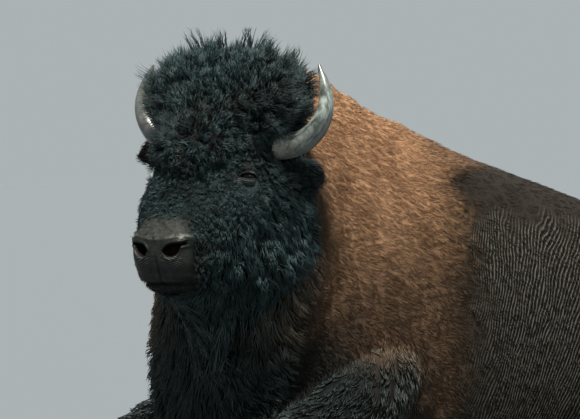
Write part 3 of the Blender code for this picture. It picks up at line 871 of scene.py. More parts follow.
def unwrap(piece):
    """Unwraps the skin on its own shape, for the bake of the coat."""
    choose(piece)
    while piece.data.uv_layers:
        piece.data.uv_layers.remove(piece.data.uv_layers[0])
    piece.data.uv_layers.new(name="OFBake")
    bpy.ops.object.mode_set(mode="EDIT")
    bpy.ops.mesh.select_all(action="SELECT")
    bpy.ops.uv.smart_project(angle_limit=math.radians(66), island_margin=0.002)
    bpy.ops.object.mode_set(mode="OBJECT")


# ---- Lie of the coat -----------------------------------------------------------------------
# The ways of tail and left legs from trunk to tip
TAIL_ROUTE = (
    *((1.46, 0.00, 0.665), (1.565, -0.01, 0.60), (1.622, -0.03, 0.46), (1.645, -0.07, 0.28)),
    *((1.640, -0.13, 0.12), (1.615, -0.22, 0.036), (1.580, -0.33, 0.036), (1.500, -0.55, 0.024)),
)
LEG_ROUTES = {
    "foreleg_upper": ((0.1, -0.23, 0.45), (0.0, -0.288, 0.255), (-0.23, -0.333, 0.15), (-0.5, -0.285, 0.08)),
    "foreleg_lower": ((-0.475, -0.235, 0.058), (-0.20, -0.190, 0.052), (0.10, -0.188, 0.052)),
    "hindleg_upper": ((1.15, -0.20, 0.70), (1.00, -0.33, 0.33), (1.09, -0.36, 0.20), (1.43, -0.345, 0.092)),
    "hindleg_lower": ((1.45, -0.388, 0.072), (1.20, -0.452, 0.05), (0.80, -0.482, 0.05)),
}


def lie_at(places, normals, labels, share):
    """The way the coat lies, along the surface: backward and down the trunk, and down each leg."""
    head = to_head(places)
    hx, hy, hz = head.T
    part = dict(zip(LABELS, labels.T[:, :, None]))
    region = dict(zip(NAMES, share.T[:, :, None]))
    top = np.clip(normals[:, 2], 0, 1)
    way = np.tile((1.0, 0.0, -0.42), (len(places), 1))
    way[:, 2] -= 0.35 * region["cape"][:, 0]
    way[:, 1] += np.sign(normals[:, 1]) * 0.25 * top
    for label, route in LEG_ROUTES.items():
        left, right = (follow(places, route * turn + SHIFT)[1] for turn in SIDES)
        way += part[label] * 6 * np.where(places[:, 1:2] < SHIFT[1], left, right)
    way += (part["tail"] + part["tail_tuft"]) * 12 * follow(places, TAIL_ROUTE + SHIFT)[1]
    way += part["neck"] * np.array((0.1, 0.0, -0.9))

    # On the head the wool parts from a whorl over the forehead, and runs down toward the beard
    outward = np.sign(hy)
    whorl = ways(hx - 0.17, hy, hz - 0.02)
    face = region["bonnet"] * (unit(whorl) + ways(-0.25, 0.0, 0.45 * ease(hz, 0.05, 0.18))) * 2
    brow = ways(0.2, 0.55 * outward * ease(np.abs(hy), 0.0, 0.05), -0.9) + 0.6 * unit(whorl)
    face += region["brow"] * brow
    nose = ways(0.5, 0.45 * outward * ease(np.abs(hy), 0.01, 0.06), -0.8)
    behind = ease(0.24 - hx, 0.0, 0.12)[:, None]
    nose = nose * (1 - behind) + np.array((-0.75, 0.0, -0.75)) * behind
    for name in ("face", "muzzle", "bare"):
        face += region[name] * nose
    low = ease(-0.10 - hz, 0.0, 0.16)[:, None]
    cheek = np.array((-0.85, 0.0, -0.55)) * (1 - low) + low * ways(-0.35, 0.05 * outward, -1.0)
    face += region["cheek"] * cheek
    face += region["jaw"] * ways(-0.25, 0.1 * outward, -1.0)
    face += region["beard"] * np.array((0.05, 0.0, -1.2))
    ears = np.where(hy[:, None] > 0, np.array((-0.9, 0.45, -0.4)), np.array((0.35, -1.0, -0.1)))
    face += region["ear"] * ears * 2
    on_head = np.clip(part["head"] + part["beard"] + part["ear_left"] + part["ear_right"], 0, 1)
    way = way * (1 - on_head) + (face @ TURN.T) * on_head * 1.5
    # The woolly regions swirl
    swirl = np.stack([waves(places, 0.11, seed) for seed in (21, 22, 23)], 1)
    curly = in_regions(share, "bonnet", "brow", "face", "cape") @ (0.45, 0.4, 0.3, 0.20)
    return along_surface(unit(way) + curly[:, None] * swirl, normals)


# ---- Tufts ---------------------------------------------------------------------------------
# Half widths of a tuft's rings from foot to tip, for one to four bands between them
PROFILES = {1: (0.85,), 2: (0.75, 0.90), 3: (0.60, 1.00, 0.72), 4: (0.50, 0.95, 0.90, 0.55)}
FLATNESS = 0.55  # a tuft's thickness over its width
PATCH = 0.003  # how wide a tuft's patch is on the map
FOOT = 0.2  # the part of the patch that the foot fills; the sides stand over it
LOCK_WIDTH = 3.4  # a lock's width, in spacings of its tufts
MORE_ON_RIDGES = 1.1  # how many more tufts the ridged flank has
STRAIGHT_TUFTS = 0.75  # the share of the cape's tufts that have a single band
STRAY_LOCKS = 0.30  # the share of the crown's locks that stand up
DROOP = 0.62  # how far a tuft that bends fully has sunk back at its tip, of its lift
CURL_LENGTH = 0.034  # the length of tuft that one turn of curl takes
LOCK_RISE = 0.55  # how far a lock's middle rises at the tips, of half its width
LOCK_CLOSE = 0.9  # how far a lock's tips draw together
FOOT_DEPTH = 0.0015  # how far a tuft's foot stands in the skin
MOST_TRIANGLES = 188000  # in one piece of coat
OVERHANG = np.array((0.060, 0.036, 0.044))  # how far the coat's tips may pass the solids' box
# The pieces of coat: the finish and the regions of each
COAT_GROUPS = {
    "bonnet": ("black_hair", ("bonnet", "brow")),
    "face": ("black_hair", ("face", "muzzle", "bare", "ear", "cheek")),
    "beard": ("black_hair", ("jaw", "beard")),
    "mane": ("black_hair", ("mantle", "chaps")),
    "cape": ("brown_cape", ("cape",)),
    "body": ("dark_coat", ("flank", "belly", "rump", "shank", "tail", "switch")),
}


def tuft_faces(bands):
    """One tuft's faces: their corners, where each face starts, and the corners' places on its patch."""
    corners, starts, cell = [2, 1, 0], [0], [(0.1, 0.02), (0.5, FOOT), (0.9, 0.02)]
    heights = FOOT + (1 - FOOT) * np.arange(bands + 1) / bands
    for k in range(bands):
        for i in range(3):
            this, following = 3 * k + i, 3 * k + (i + 1) % 3
            starts.append(len(corners))
            cell += [(i / 3, heights[k]), ((i + 1) / 3, heights[k])]
            if k < bands - 1:
                corners += [this, following, following + 3, this + 3]
                cell += [((i + 1) / 3, heights[k + 1]), (i / 3, heights[k + 1])]
            else:
                corners += [this, following, 3 * bands]
                cell += [((i + 0.5) / 3, 1.0)]
    return np.array(corners), np.array(starts), (np.array(cell) - 0.5) * PATCH


def tuft_mesh(lines, widths, normals, shade, root_shade, coords):
    """One mesh of closed tapered tufts along given lines, each on its own patch of the map."""
    bands = lines.shape[1] - 1
    rings = []
    for k, share in enumerate(PROFILES[bands]):
        along = unit(lines[:, k + 1] - lines[:, max(k - 1, 0)])
        up = along_surface(normals, along)
        side = np.cross(up, along)
        # side x up points along the tuft, so corners run anticlockwise seen from its tip
        for angle in np.radians((90, 210, 330)):
            spot = side * math.cos(angle) + up * math.sin(angle) * FLATNESS
            rings.append(lines[:, k] + spot * (widths * share)[:, None])
    rings.append(lines[:, bands])
    verts = np.stack(rings, 1)
    corners, starts, cell = tuft_faces(bands)
    offset = np.arange(len(lines))[:, None]
    all_corners = (corners + len(rings) * offset).ravel()
    all_starts = (starts + len(corners) * offset).ravel()
    uvs = np.clip(coords, PATCH, 1 - PATCH)[:, None] + cell

    mesh = bpy.data.meshes.new("tufts")
    mesh.vertices.add(len(rings) * len(lines))
    mesh.vertices.foreach_set("co", verts.astype(np.float32).ravel())
    mesh.loops.add(len(all_corners))
    mesh.loops.foreach_set("vertex_index", all_corners.astype(np.int32))
    mesh.polygons.add(len(all_starts))
    mesh.polygons.foreach_set("loop_start", all_starts.astype(np.int32))
    mesh.update(calc_edges=True)
    mesh.uv_layers.new(name="OFBake").data.foreach_set("uv", uvs.astype(np.float32).ravel())
    # Each tuft darkens from its tip toward its root, as painted shade within the coat
    rise = np.append(np.repeat(np.arange(bands) / bands, 3), 1.0)
    first = root_shade[:, None]
    put_column(mesh, "shade", (shade[:, None] * (first + (1 - first) * rise)).ravel())
    return mesh


def gap_to(nodes, places):
    """Distance from each place to the nearest of some nodes, 1 where it is far."""
    gaps = np.full(len(places), 1.0)
    for node in nodes:
        piece = copied(node, "near")
        faces = [list(face.vertices) for face in piece.data.polygons]
        tree = BVHTree.FromPolygons(places_of(piece.data).tolist(), faces)
        bpy.data.objects.remove(piece, do_unlink=True)
        found = [tree.find_nearest(place, 0.08)[3] for place in places.tolist()]
        gaps = np.minimum(gaps, [1.0 if gap is None else gap for gap in found])
    return gaps


def of_kind(kinds, *names):
    """Whether each tuft's region is any of some."""
    return np.isin(kinds, [NAMES.index(name) for name in names])


def sizes_at(places, share):
    """The columns of the regions at each place, and how much of the crown it is."""
    sizes = share @ TABLE
    head = to_head(places)
    # Tufts are smallest around the eyes and short where they meet the horns
    eye_gap = gap_from(EYE, head)
    small = 0.26 + 0.74 * ease(eye_gap, 0.026, 0.085)
    further = ease(eye_gap, 0.03, 0.08)
    sizes[:, LENGTH] *= small
    sizes[:, LIFT] *= 0.6 + 0.4 * small
    sizes[:, CURL] *= small
    sizes[:, WIDTH] *= 0.7 + 0.3 * further
    sizes[:, SPACING] *= 0.76 + 0.24 * further
    sizes[:, LENGTH] *= 0.30 + 0.70 * ease(gap_to(("horn_left", "horn_right"), places), 0.006, 0.050)
    # The wool of the right side of face and bonnet stands out further than the left side's
    bonnet = in_regions(share, "bonnet")[:, 0]
    crown = ease(head[:, 2], 0.13, 0.24) * bonnet
    sizes[:, LENGTH] *= 1 + 0.50 * far_side(head, share)
    sizes[:, LENGTH] *= 1 + 0.30 * ease(-head[:, 1], 0.06, 0.14) * bonnet * (1 - crown)
    return sizes, crown


def scattered(corners, density, draw):
    """Random roots: the triangle of each, and its weights at the triangle's corners."""
    cross = np.cross(corners[:, 1] - corners[:, 0], corners[:, 2] - corners[:, 0])
    area = np.linalg.norm(cross, axis=1) / 2
    expected = np.cumsum(area * density)
    count = int(expected[-1])
    picks = np.arange(count) + draw.uniform(0, 1, count)
    home = np.minimum(np.searchsorted(expected, picks), len(area) - 1)
    a, b = draw.uniform(size=(2, count))
    over = a + b > 1
    a[over], b[over] = 1 - a[over], 1 - b[over]
    return home, np.stack((1 - a - b, a, b), 1)


def locks_of(roots, draw):
    """The tuft that leads the lock of each tuft."""
    leads = np.nonzero(draw.uniform(size=len(roots)) < 1 / LOCK_WIDTH**2)[0]
    tree = KDTree(len(leads))
    for number, place in enumerate(roots[leads].tolist()):
        tree.insert(place, number)
    tree.balance()
    return leads[[tree.find(place)[1] for place in roots.tolist()]]


def grow_coat(skin):
    """Every tuft's line from root to tip, with its sizes, region, place on the map and tone."""
    mesh = skin.data
    places, normals = places_of(mesh), normals_of(mesh)
    lids, slit, hollow, ridges = columns_of(mesh, ("lids", "slit", "hollow", "ridged")).T
    web = Web(mesh)
    labels = web.spread(columns_of(mesh, LABEL_COLUMNS), 2)
    even = unit(web.spread(normals, 5))
    share = regions_at(places, even, labels)
    lie = along_surface(web.spread(lie_at(places, even, labels, share), 4), even)
    sizes, crown = sizes_at(places, share)
    density = 1 / sizes[:, SPACING] ** 2
    density *= 1 - np.clip(slit * 1.2 + hollow * 3 + lids * 0.5, 0, 1)
    density *= 1 + MORE_ON_RIDGES * ridges
    density *= 1 - ease(-normals[:, 2], 0.7, 0.9) * ease(0.02 - places[:, 2], 0, 0.01)

    mesh.calc_loop_triangles()
    triangles = read(mesh.loop_triangles, "vertices", 3, np.int32)
    loops = read(mesh.loop_triangles, "loops", 3, np.int32)
    draw = np.random.default_rng(7)
    home, weigh = scattered(places[triangles], density[triangles].mean(1), draw)
    count = len(home)
    uv = (read(mesh.uv_layers["OFBake"].data, "uv", 2)[loops[home]] * weigh[:, :, None]).sum(1)

    def at(numbers):
        return (numbers[triangles[home]] * weigh.reshape(count, 3, *[1] * (numbers.ndim - 1))).sum(1)

    roots, up, flow = at(places), unit(at(even)), unit(at(lie))
    mine, kinds = at(sizes), at(share).argmax(1)
    crown, furrow = at(crown), at(ridges)
    # Tufts of the ridged flank gather on the crests and run down along them
    turn = 2 * math.pi * ridge_phase(roots)
    ridge = 0.5 + 0.5 * np.cos(turn)
    steep = 2 * math.pi * RIDGE_TURNS * RIDGE_WIDENS / (1 + RIDGE_WIDENS * ridge_along(roots))
    roots[:, 0] -= furrow * 0.8 * np.sin(turn) / steep
    down = unit(ways(-ridge_way(roots[:, 0]), 0.0, -1.0))
    flow = unit(flow) * (1 - 0.75 * furrow)[:, None] + down * (0.75 * furrow)[:, None]
    flow = along_surface(flow, up)

    # Each tuft belongs to the nearest lock and takes after it
    lead = locks_of(roots, draw)
    wander = np.radians(mine[:, SPREAD])
    spread = wander * (draw.normal(size=count)[lead] + 0.35 * draw.normal(size=count))
    flow = flow * np.cos(spread)[:, None] + np.cross(up, flow) * np.sin(spread)[:, None]
    side = np.cross(up, flow)
    vary = mine[:, GATHER] / 0.75
    length = mine[:, LENGTH] * (1 + vary * draw.uniform(-0.32, 0.28, count)[lead])
    length = length * draw.uniform(0.82, 1.14, count)
    # Stray locks stand up from the crown, longest over its middle
    tall = np.clip(0.62 + 0.7 * waves(roots, 0.075, 41), 0.0, 1.25)
    stray = (draw.uniform(size=count)[lead] < STRAY_LOCKS) & (crown > 0.15)
    plume = bell(to_head(roots)[:, 1], 0.02, 0.075) + 0.35
    length = np.where(stray, length * (1.05 + 0.72 * tall * crown * plume), length)
    lift = np.radians(mine[:, LIFT]) * (1 + vary * draw.uniform(-0.45, 0.4, count)[lead])
    lift = np.where(stray, np.radians(62 + 16 * draw.uniform(size=count)[lead]), lift)
    lift = lift * draw.uniform(0.9, 1.1, count) + 0.10 * furrow * ridge
    bend = np.where(stray, 0.12, mine[:, BEND])
    curl = mine[:, CURL] * draw.uniform(0.45, 1.4, count)[lead] * np.where(stray, 0.6, 1.0)
    phase = draw.uniform(0, 2 * math.pi, count)[lead] + 0.5 * draw.normal(size=count)
    turns = np.clip(length / CURL_LENGTH, 0.4, 1.9) * draw.uniform(0.8, 1.25, count)[lead]

    # Long tufts have four bands, to curl, and the shortest and flattest have one
    bands = np.where(length < 0.085, 3, 4)
    bands = np.where((length < 0.018) | of_kind(kinds, "cape", "face", "ear"), 2, bands)
    straight = of_kind(kinds, "cape") & (draw.uniform(size=count) < STRAIGHT_TUFTS)
    flattest = of_kind(kinds, "flank", "rump", "belly", "shank", "tail", "muzzle", "bare")
    bands = np.where(flattest | straight, 1, bands)

    # A lock's tufts rise in its middle and draw together toward their tips
    gap = roots - roots[lead]
    reach = mine[:, SPACING] * LOCK_WIDTH * 0.5
    inward = np.clip(1 - (np.linalg.norm(gap, axis=1) / np.maximum(reach, 1e-6)) ** 2, 0, 1)
    pull = mine[:, GATHER] * np.where(stray, 0.72, 1.0)
    pieces = []
    for layers in PROFILES:
        these = np.nonzero(bands == layers)[0]
        lines = []
        for t in np.linspace(0, 1, layers + 1):
            along = length * t * np.cos(lift)
            out = length * np.sin(lift) * (t - bend * DROOP * t * t) - FOOT_DEPTH
            out = out + inward * reach * LOCK_RISE * pull * t
            turn = 2 * math.pi * turns * t + phase
            sway = curl * np.sin(turn) * t**0.7
            rise = 0.6 * curl * np.cos(turn) * t
            line = roots + flow * along[:, None] + up * (out + rise)[:, None]
            line = line + side * sway[:, None] - gap * (pull * LOCK_CLOSE * t**1.2)[:, None]
            lines.append(line[these])
        pieces.append((these, np.stack(lines, 1)))
    tone = draw.uniform(0.35, 1.0, count)[lead] * draw.uniform(0.75, 1.0, count)
    tone = 1 - (1 - tone) * np.clip(vary * 0.9, 0.2, 1.0)
    # The ridged flank's tufts are painted darker in the furrows as shade and lighter on the crests as
    # highlight
    tone = tone * (1 - furrow * (1 - ridge) * 0.85) * (1 + furrow * ridge * 1.2)
    return pieces, roots, up, mine, kinds, uv, tone


def dress(skin, looks):
    """Grows the coat and joins its tufts into pieces, group by group from front to rear."""
    pieces, roots, up, mine, kinds, uv, tone = grow_coat(skin)
    for group, (slot, names) in COAT_GROUPS.items():
        wanted = of_kind(kinds, *names)
        layers = []
        for these, lines in pieces:
            chosen = these[wanted[these]]
            if len(chosen):
                held = lines[wanted[these]]
                held = np.clip(held, np.array(cad_box[0]) - OVERHANG, np.array(cad_box[1]) + OVERHANG)
                held[:, :, 2] = np.maximum(held[:, :, 2], 0.002)
                order = np.argsort(roots[chosen, 0])
                layers.append((chosen[order], held[order]))
        # A line of n points makes a tuft of 6n - 8 triangles
        most = sum((6 * held.shape[1] - 8) * len(chosen) for chosen, held in layers)
        parts = max(1, math.ceil(most / MOST_TRIANGLES))
        cuts = np.quantile(roots[wanted, 0], np.linspace(0, 1, parts + 1))
        cuts[0], cuts[-1] = -9, 9
        for number, (front, rear) in enumerate(zip(cuts, cuts[1:]), 1):
            made = []
            for chosen, held in layers:
                here = (roots[chosen, 0] > front) & (roots[chosen, 0] <= rear)
                if here.any():
                    pick = chosen[here]
                    width, root_shade = mine[pick][:, [WIDTH, ROOT_SHADE]].T
                    mesh = tuft_mesh(held[here], width, up[pick], tone[pick], root_shade, uv[pick])
                    made.append(shown("tufts", mesh))
            finished(joined(made, f"coat_{group}_{number}"), looks[slot], slot)


# ---- Finishes ------------------------------------------------------------------------------
# The head's black hair and its darker patches, both tinted teal as a painted reflection of the sky
SKY_TINTED_BLACK = (0.0220, 0.0370, 0.0390)
BLACK_DEEP = (0.0036, 0.0062, 0.0068)
DARK_BROWN = (0.036, 0.0245, 0.0155)
BROWN = (0.310, 0.162, 0.082)
BRIGHT_BROWN = (0.480, 0.280, 0.156)
FLANK = (0.0150, 0.0115, 0.0078)
FLANK_WORN = (0.030, 0.0220, 0.0145)
# Painted highlight on the crests of the flank's ridges, and painted shade in their furrows
FLANK_CREST_HIGHLIGHT = (0.072, 0.068, 0.056)
FLANK_FURROW_SHADE = (0.0022, 0.0022, 0.0022)
LEG_BLACK = (0.0090, 0.0110, 0.0105)
TAIL_BLACK = (0.0110, 0.0100, 0.0085)
FOREHEAD = (0.0230, 0.0225, 0.0190)
WOOL_TIPS = (0.0175, 0.0140, 0.0105)
EAR_BROWN = (0.030, 0.019, 0.013)
# Painted shade for the hollows under the horns
SHADE = (0.0010, 0.0013, 0.0013)
MUZZLE_GREY = (0.082, 0.081, 0.069)
LIP_DARK = (0.0085, 0.0080, 0.0060)
# Pale bare skin of lids and nose folds, made lighter on their crests and along the upper lid as painted
# highlight
LID_GREY_AND_HIGHLIGHT = (0.095, 0.106, 0.100)
LID_EDGE = (0.003, 0.003, 0.003)
PAD = (0.0110, 0.0136, 0.0098)
PAD_DARK = (0.0048, 0.0060, 0.0046)
# The pad's pale rim, lightened as painted highlight
RIM_PALE_HIGHLIGHT = (0.150, 0.145, 0.125)
# The nostrils' reddish lining, darkened as painted shade
NOSTRIL_RED_SHADED = (0.0060, 0.0026, 0.0026)
HORN_DARK, HORN_PALE = (0.046, 0.056, 0.050), (0.34, 0.39, 0.35)
HORN_ROOT_DARK, HORN_ROOT_PALE = (0.070, 0.068, 0.050), (0.50, 0.47, 0.37)
# Painted shade under the horns
HORN_UNDER_SHADE = (0.0120, 0.0150, 0.0125)
HORN_TIP = (0.050, 0.050, 0.046)
# Painted shade over the right horn
HORN_RIGHT_SHADE = (0.050, 0.047, 0.043)
HOOF_DARK, HOOF_PALE = (0.012, 0.011, 0.010), (0.050, 0.043, 0.036)
IRIS_DARK, IRIS_PALE = (0.0010, 0.0010, 0.0009), (0.0036, 0.0028, 0.0020)
IRIS_RADIUS, EYE_WHITE = 0.0112, (0.0016, 0.0018, 0.0018)
PUPIL_WIDE, PUPIL_HIGH, PUPIL = 0.0062, 0.0034, (0.0008, 0.0010, 0.0012)
LEAST_GLOW = 0.06  # the brightness of the darkest tufts
FLOOR_GREY = (0.140, 0.1535, 0.164)
STUDIO_GREY = (0.50, 0.545, 0.56)


def oval(ragged, low, high, *reaches):
    """1 inside an oval and 0 outside it, where each reach is 1 at the end of its own axis."""
    for reach in reaches:
        ragged = ragged + reach * reach
    return ragged.below(low, high)


def shaded_hollow_under_horn(hx, hy, hz, fine):
    """The hollow between horn, ear and cheek on either side, where the coat is darkened as painted shade."""
    reach = oval(fine, 0.3, 1.5, (hx + 0.035) / 0.100, (hz + 0.108) / 0.066)
    return reach * abs(hy).above(0.11, 0.15)


def coat_colour(look):
    """The markings of skin and coat alike, by place on the body, with painted shade low on the cape, under
    the horns and in the face's hollows, and the head's black tinted teal as a painted reflection of the sky.
    """
    x, y, z = look.parts(look.places())
    hx, hy, hz = look.parts(look.head_places())
    side = abs(hy)
    loose = look.noise(9.0, 2.0) - 0.5
    fine = look.noise(42.0, 3.0) - 0.5
    broad = look.noise(5.0, 2.0) - 0.5

    # The brown cape, painted darker low down as shade under light from above, and the dark flank behind it
    brown = look.mix((fine * 0.7 + loose * 0.9 + broad + 0.45).clamped(), BROWN, BRIGHT_BROWN)
    low = (z + loose * 0.2 + broad * 0.15).below(0.45, 1.05)
    brown = look.mix(low * 0.85, brown, DARK_BROWN)
    dark = look.mix((fine + loose + 0.5).clamped(), FLANK, FLANK_WORN)
    edge = x - z.above(0.52, 0.75) * 0.075 + loose * 0.12 + fine * 0.16
    flank = edge.above(-0.225, -0.055)
    # Brown runs further back along the topline, with a dark patch where it leaves the flank
    height = z + abs(y) * 0.25
    top = (height + fine * 0.02).above(0.915, 0.945)
    flank = flank - flank * top * (x + fine * 0.3).below(0.02, 0.46) * 0.50
    patch = oval(fine * 2.6, 0.0, 1.7, (x - 0.075) / 0.120, (height - 0.930) / 0.028)
    flank = (flank + patch * 0.38).clamped()

    # The head's black runs into the neck through a dark brown fringe
    reach = hx + loose * 0.05 + fine * 0.09 - (-0.29 - hz).sum("MAXIMUM", 0.0) * 0.75
    fringe, head = reach.above(-0.300, -0.165), reach.above(-0.160, -0.110)
    patchy = look.noise(13.0, 2.0, 0.5) * 1.1 + look.noise(34.0, 2.0, 0.5) * 0.9
    # The head's black, tinted teal as painted sky reflection, darker in random patches
    black = look.mix(patchy.above(0.72, 1.32), BLACK_DEEP, SKY_TINTED_BLACK)

    # The dark chest and legs
    along = x + loose * 0.2
    chest = (z + loose * 0.2).below(0.36, 0.60) * along.below(-0.60, -0.36)
    forelegs = z.below(0.30, 0.44) * along.below(-0.32, -0.12)
    hindlegs = (z + loose * 0.1).below(0.10, 0.22) * x.above(0.3, 0.5)

    # The forehead, the brownish tips of the bonnet beside the horns, and the brown ears
    warm = (hz + 0.12).above(0.0, 0.08) * hz.below(0.10, 0.20) * hx.above(-0.02, 0.04)
    warm = warm * look.noise(16.0, 2.0, 0.6).above(0.42, 0.66)
    wool = (hz - 0.02).above(0.0, 0.10) * side.above(0.10, 0.22) * hx.above(-0.14, -0.08)
    wool = wool * (fine * 1.5 + 0.5).clamped()
    ears = side.above(0.21, 0.24) * hx.above(-0.20, -0.16)
    ears = ears * (hz + 0.2).above(0.05, 0.08) * (0.02 - hz).above(0.0, 0.02)

    # The grey bridge of the nose and the dark lips
    grizzle = look.noise(60.0, 3.0, 0.6) - 0.5
    bridge = (hx + loose * 0.05).above(0.325, 0.375) * (side + fine * 0.03).below(0.072, 0.104)
    bridge = bridge * (hz + loose * 0.05 + fine * 0.04).below(-0.222, -0.178)
    bridge = (bridge * (0.70 + grizzle * 2.4 + loose * 0.6)).clamped()
    lips = hx.above(0.26, 0.33) * (hz + fine * 0.02).below(-0.285, -0.252)

    # Painted shade in the hollow of the face under the forehead, and behind each eye
    middle = oval(loose + fine, 0.2, 1.6, (hx - 0.255) / 0.060, hy / 0.070, (hz + 0.120) / 0.050)
    behind = oval(fine, 0.2, 1.5, (hx - 0.095) / 0.022, (hz + 0.115) / 0.045)
    face_shade = (middle + behind * side.above(0.10, 0.14)).clamped()
    return look.layers(
        look.mix(flank, brown, dark),
        (fringe * 0.9, DARK_BROWN),
        (head, black),
        (chest * 0.85, LEG_BLACK),
        (forelegs * 0.9, LEG_BLACK),
        (hindlegs * 0.8, LEG_BLACK),
        (x.above(1.13, 1.17), TAIL_BLACK),
        (warm * 0.75, FOREHEAD),
        (wool * 0.7, WOOL_TIPS),
        (ears * 0.8, EAR_BROWN),
        (bridge, MUZZLE_GREY),
        # Painted shade in the hollow under each horn
        (shaded_hollow_under_horn(hx, hy, hz, fine) * 0.93, SHADE),
        (face_shade * 0.72, BLACK_DEEP),
        (lips * 0.9, LIP_DARK),
    )


def coat_look(name, roughness, gloss, tint, glow):
    """The finish of tufts: duller in the hollows, and as bright as each tuft's own shade."""
    look = Look(name, Specular_IOR_Level=gloss, Specular_Tint=(*tint, 1.0))
    hollow = shaded_hollow_under_horn(*look.parts(look.head_places()), look.noise(42.0, 3.0) - 0.5)
    colour = look.dimmed(coat_colour(look), look.attribute("shade") * glow + LEAST_GLOW)
    look.feed(Base_Color=colour, Roughness=roughness + hollow * (1.0 - roughness))
    return look.material


def skin_look():
    """The skin: dimmed under the coat as painted shade, with ridges over the flank painted light on their
    crests and dark in their furrows, and bare at lids, lips and nose.
    """
    look = Look("skin", Specular_IOR_Level=0.07, Coat_Roughness=0.34, Coat_IOR=1.4)
    x, _, z = look.parts(look.places())
    lids, slit, crinkle, hollow = map(look.attribute, ("lids", "slit", "crinkle", "hollow"))
    pad, rim, turns, ridges = map(look.attribute, ("pad", "rim", "turns", "ridged"))
    # Under the coat the skin takes the coat's colour dimmed, as painted shade in the gaps between tufts
    tone = (x - z.above(0.5, 0.8) * 0.1).above(-0.62, -0.50) * 0.15 + 0.45
    crest = (turns * (2 * math.pi)).sum("COSINE") * 0.5 + 0.5
    blotch = look.noise(26.0, 3.0, 0.6).above(0.40, 0.62)
    grain = look.noise(180.0, 3.0)
    colour = look.layers(
        look.dimmed(coat_colour(look), tone),
        # Painted highlight on the ridges' crests and painted shade in their furrows
        (
            (ridges * 1.25).clamped() * 0.95,
            look.mix(crest.above(0.45, 0.95), FLANK_FURROW_SHADE, FLANK_CREST_HIGHLIGHT),
        ),
        (slit, LID_EDGE),
        (pad, look.mix(blotch, PAD_DARK, PAD)),
        # Pale bare skin of lids and folds, with painted highlight on the crests and along the upper lid
        ((lids + crinkle * 0.8).clamped() * 0.8, LID_GREY_AND_HIGHLIGHT),
        # The pad's pale rim, lightened as painted highlight
        (rim * (grain * 1.2 + 0.1).clamped(), RIM_PALE_HIGHLIGHT),
        # The nostrils' reddish lining, darkened as painted shade
        (hollow, NOSTRIL_RED_SHADED),
    )
    strands = look.streaks((160.0, 260.0, 90.0))
    values = {"Vector": look.places(), "Scale": 240.0}
    pebble = look.node("ShaderNodeTexVoronoi", {"feature": "DISTANCE_TO_EDGE"}, values)
    height = strands * (1.0 - pad) * 0.6 + crest * ridges * 1.6 + pebble.sum("MINIMUM", 0.25) * pad * 0.9
    look.bump(height, 1.0, 0.0026)
    wet = pad * (1.0 - hollow) * (grain * 1.4 - 0.2).clamped()
    look.feed(Base_Color=colour, Roughness=0.70 - pad * 0.22, Coat_Weight=wet * 0.45)
    return look.material


def horn_look():
    """Pale at the rough root, streaked along the sheath, and dark at the tip, with painted shade below and
    over the right horn.
    """
    look = Look("horn", Specular_IOR_Level=0.75)
    place = look.head_places()
    _, hy, hz = look.parts(place)
    side = abs(hy)
    rise = (side - 0.08) * 0.6 + (hz + 0.02).sum("MAXIMUM", 0.0) * 1.05
    root, tip = rise.below(0.04, 0.15), rise.above(0.30, 0.37)
    # Painted shade along the horns' undersides
    under = (hz - (side - 0.15).sum("MAXIMUM", 0.0) * 0.9).below(-0.088, -0.036)
    streak = look.streaks((160.0, 30.0, 30.0), 4.0, place)
    ring = look.streaks((14.0, 120.0, 70.0), 3.0, place)
    speck = look.noise(190.0, 3.0, 0.7)
    rough_root = look.mix((speck * 3.0 - 1.0).clamped(), HORN_ROOT_DARK, HORN_ROOT_PALE)
    colour = look.layers(
        look.mix((streak * 2.9 - 1.08).clamped(), HORN_DARK, HORN_PALE),
        (root * (0.45 + ring * 0.6), rough_root),
        (under * 0.62, HORN_UNDER_SHADE),
        (tip * 0.5, HORN_TIP),
        # Painted shade over the right horn
        ((0.0 - hy).above(0.0, 0.1) * 0.65, HORN_RIGHT_SHADE),
    )
    look.bump(streak * 0.25 + ring * root * 0.9 + speck * root * 0.5, 0.5, 0.002)
    look.feed(Base_Color=colour, Roughness=0.24 + root * 0.28 + ring * 0.1)
    return look.material


def hoof_look():
    look = Look("hoof", Specular_IOR_Level=0.4)
    streak, worn = look.streaks((20.0, 220.0, 120.0)), look.noise(60.0, 3.0)
    look.bump(streak * 0.5 + worn * 0.3, 0.5, 0.0015)
    look.feed(Base_Color=look.mix(streak, HOOF_DARK, HOOF_PALE), Roughness=0.38 + worn * 0.25)
    return look.material


def eye_look():
    """A wide pupil in a dark iris."""
    look = Look("eye", Roughness=0.06, Specular_IOR_Level=0.14)
    hx, hy, hz = look.parts(look.head_places())
    apart = (hx - EYE[0], abs(hy) - EYE[1], hz - EYE[2])

    def along(way):
        return apart[0] * float(way[0]) + apart[1] * float(way[1]) + apart[2] * float(way[2])

    u, w = along(EYE_FRONT), along(EYE_UP)
    pupil = (u / PUPIL_WIDE) * (u / PUPIL_WIDE) + (w / PUPIL_HIGH) * (w / PUPIL_HIGH)
    iris = ((u * u + w * w) ** 0.5) / IRIS_RADIUS
    colour = look.mix(look.noise(420.0, 3.0), IRIS_DARK, IRIS_PALE)
    colour = look.mix(iris.above(0.92, 1.04), colour, EYE_WHITE)
    look.feed(Base_Color=look.mix(pupil.above(0.85, 1.15), PUPIL, colour))
    return look.material


# ---- Horns, hooves and eyes ----------------------------------------------------------------
RING_GAP, RING_HEIGHT = 0.013, 0.0009  # of the rings at the horns' roots
DENT_HEIGHT, HORN_OUT = 0.0006, 0.0006  # of the horns' dents, and of their whole surface


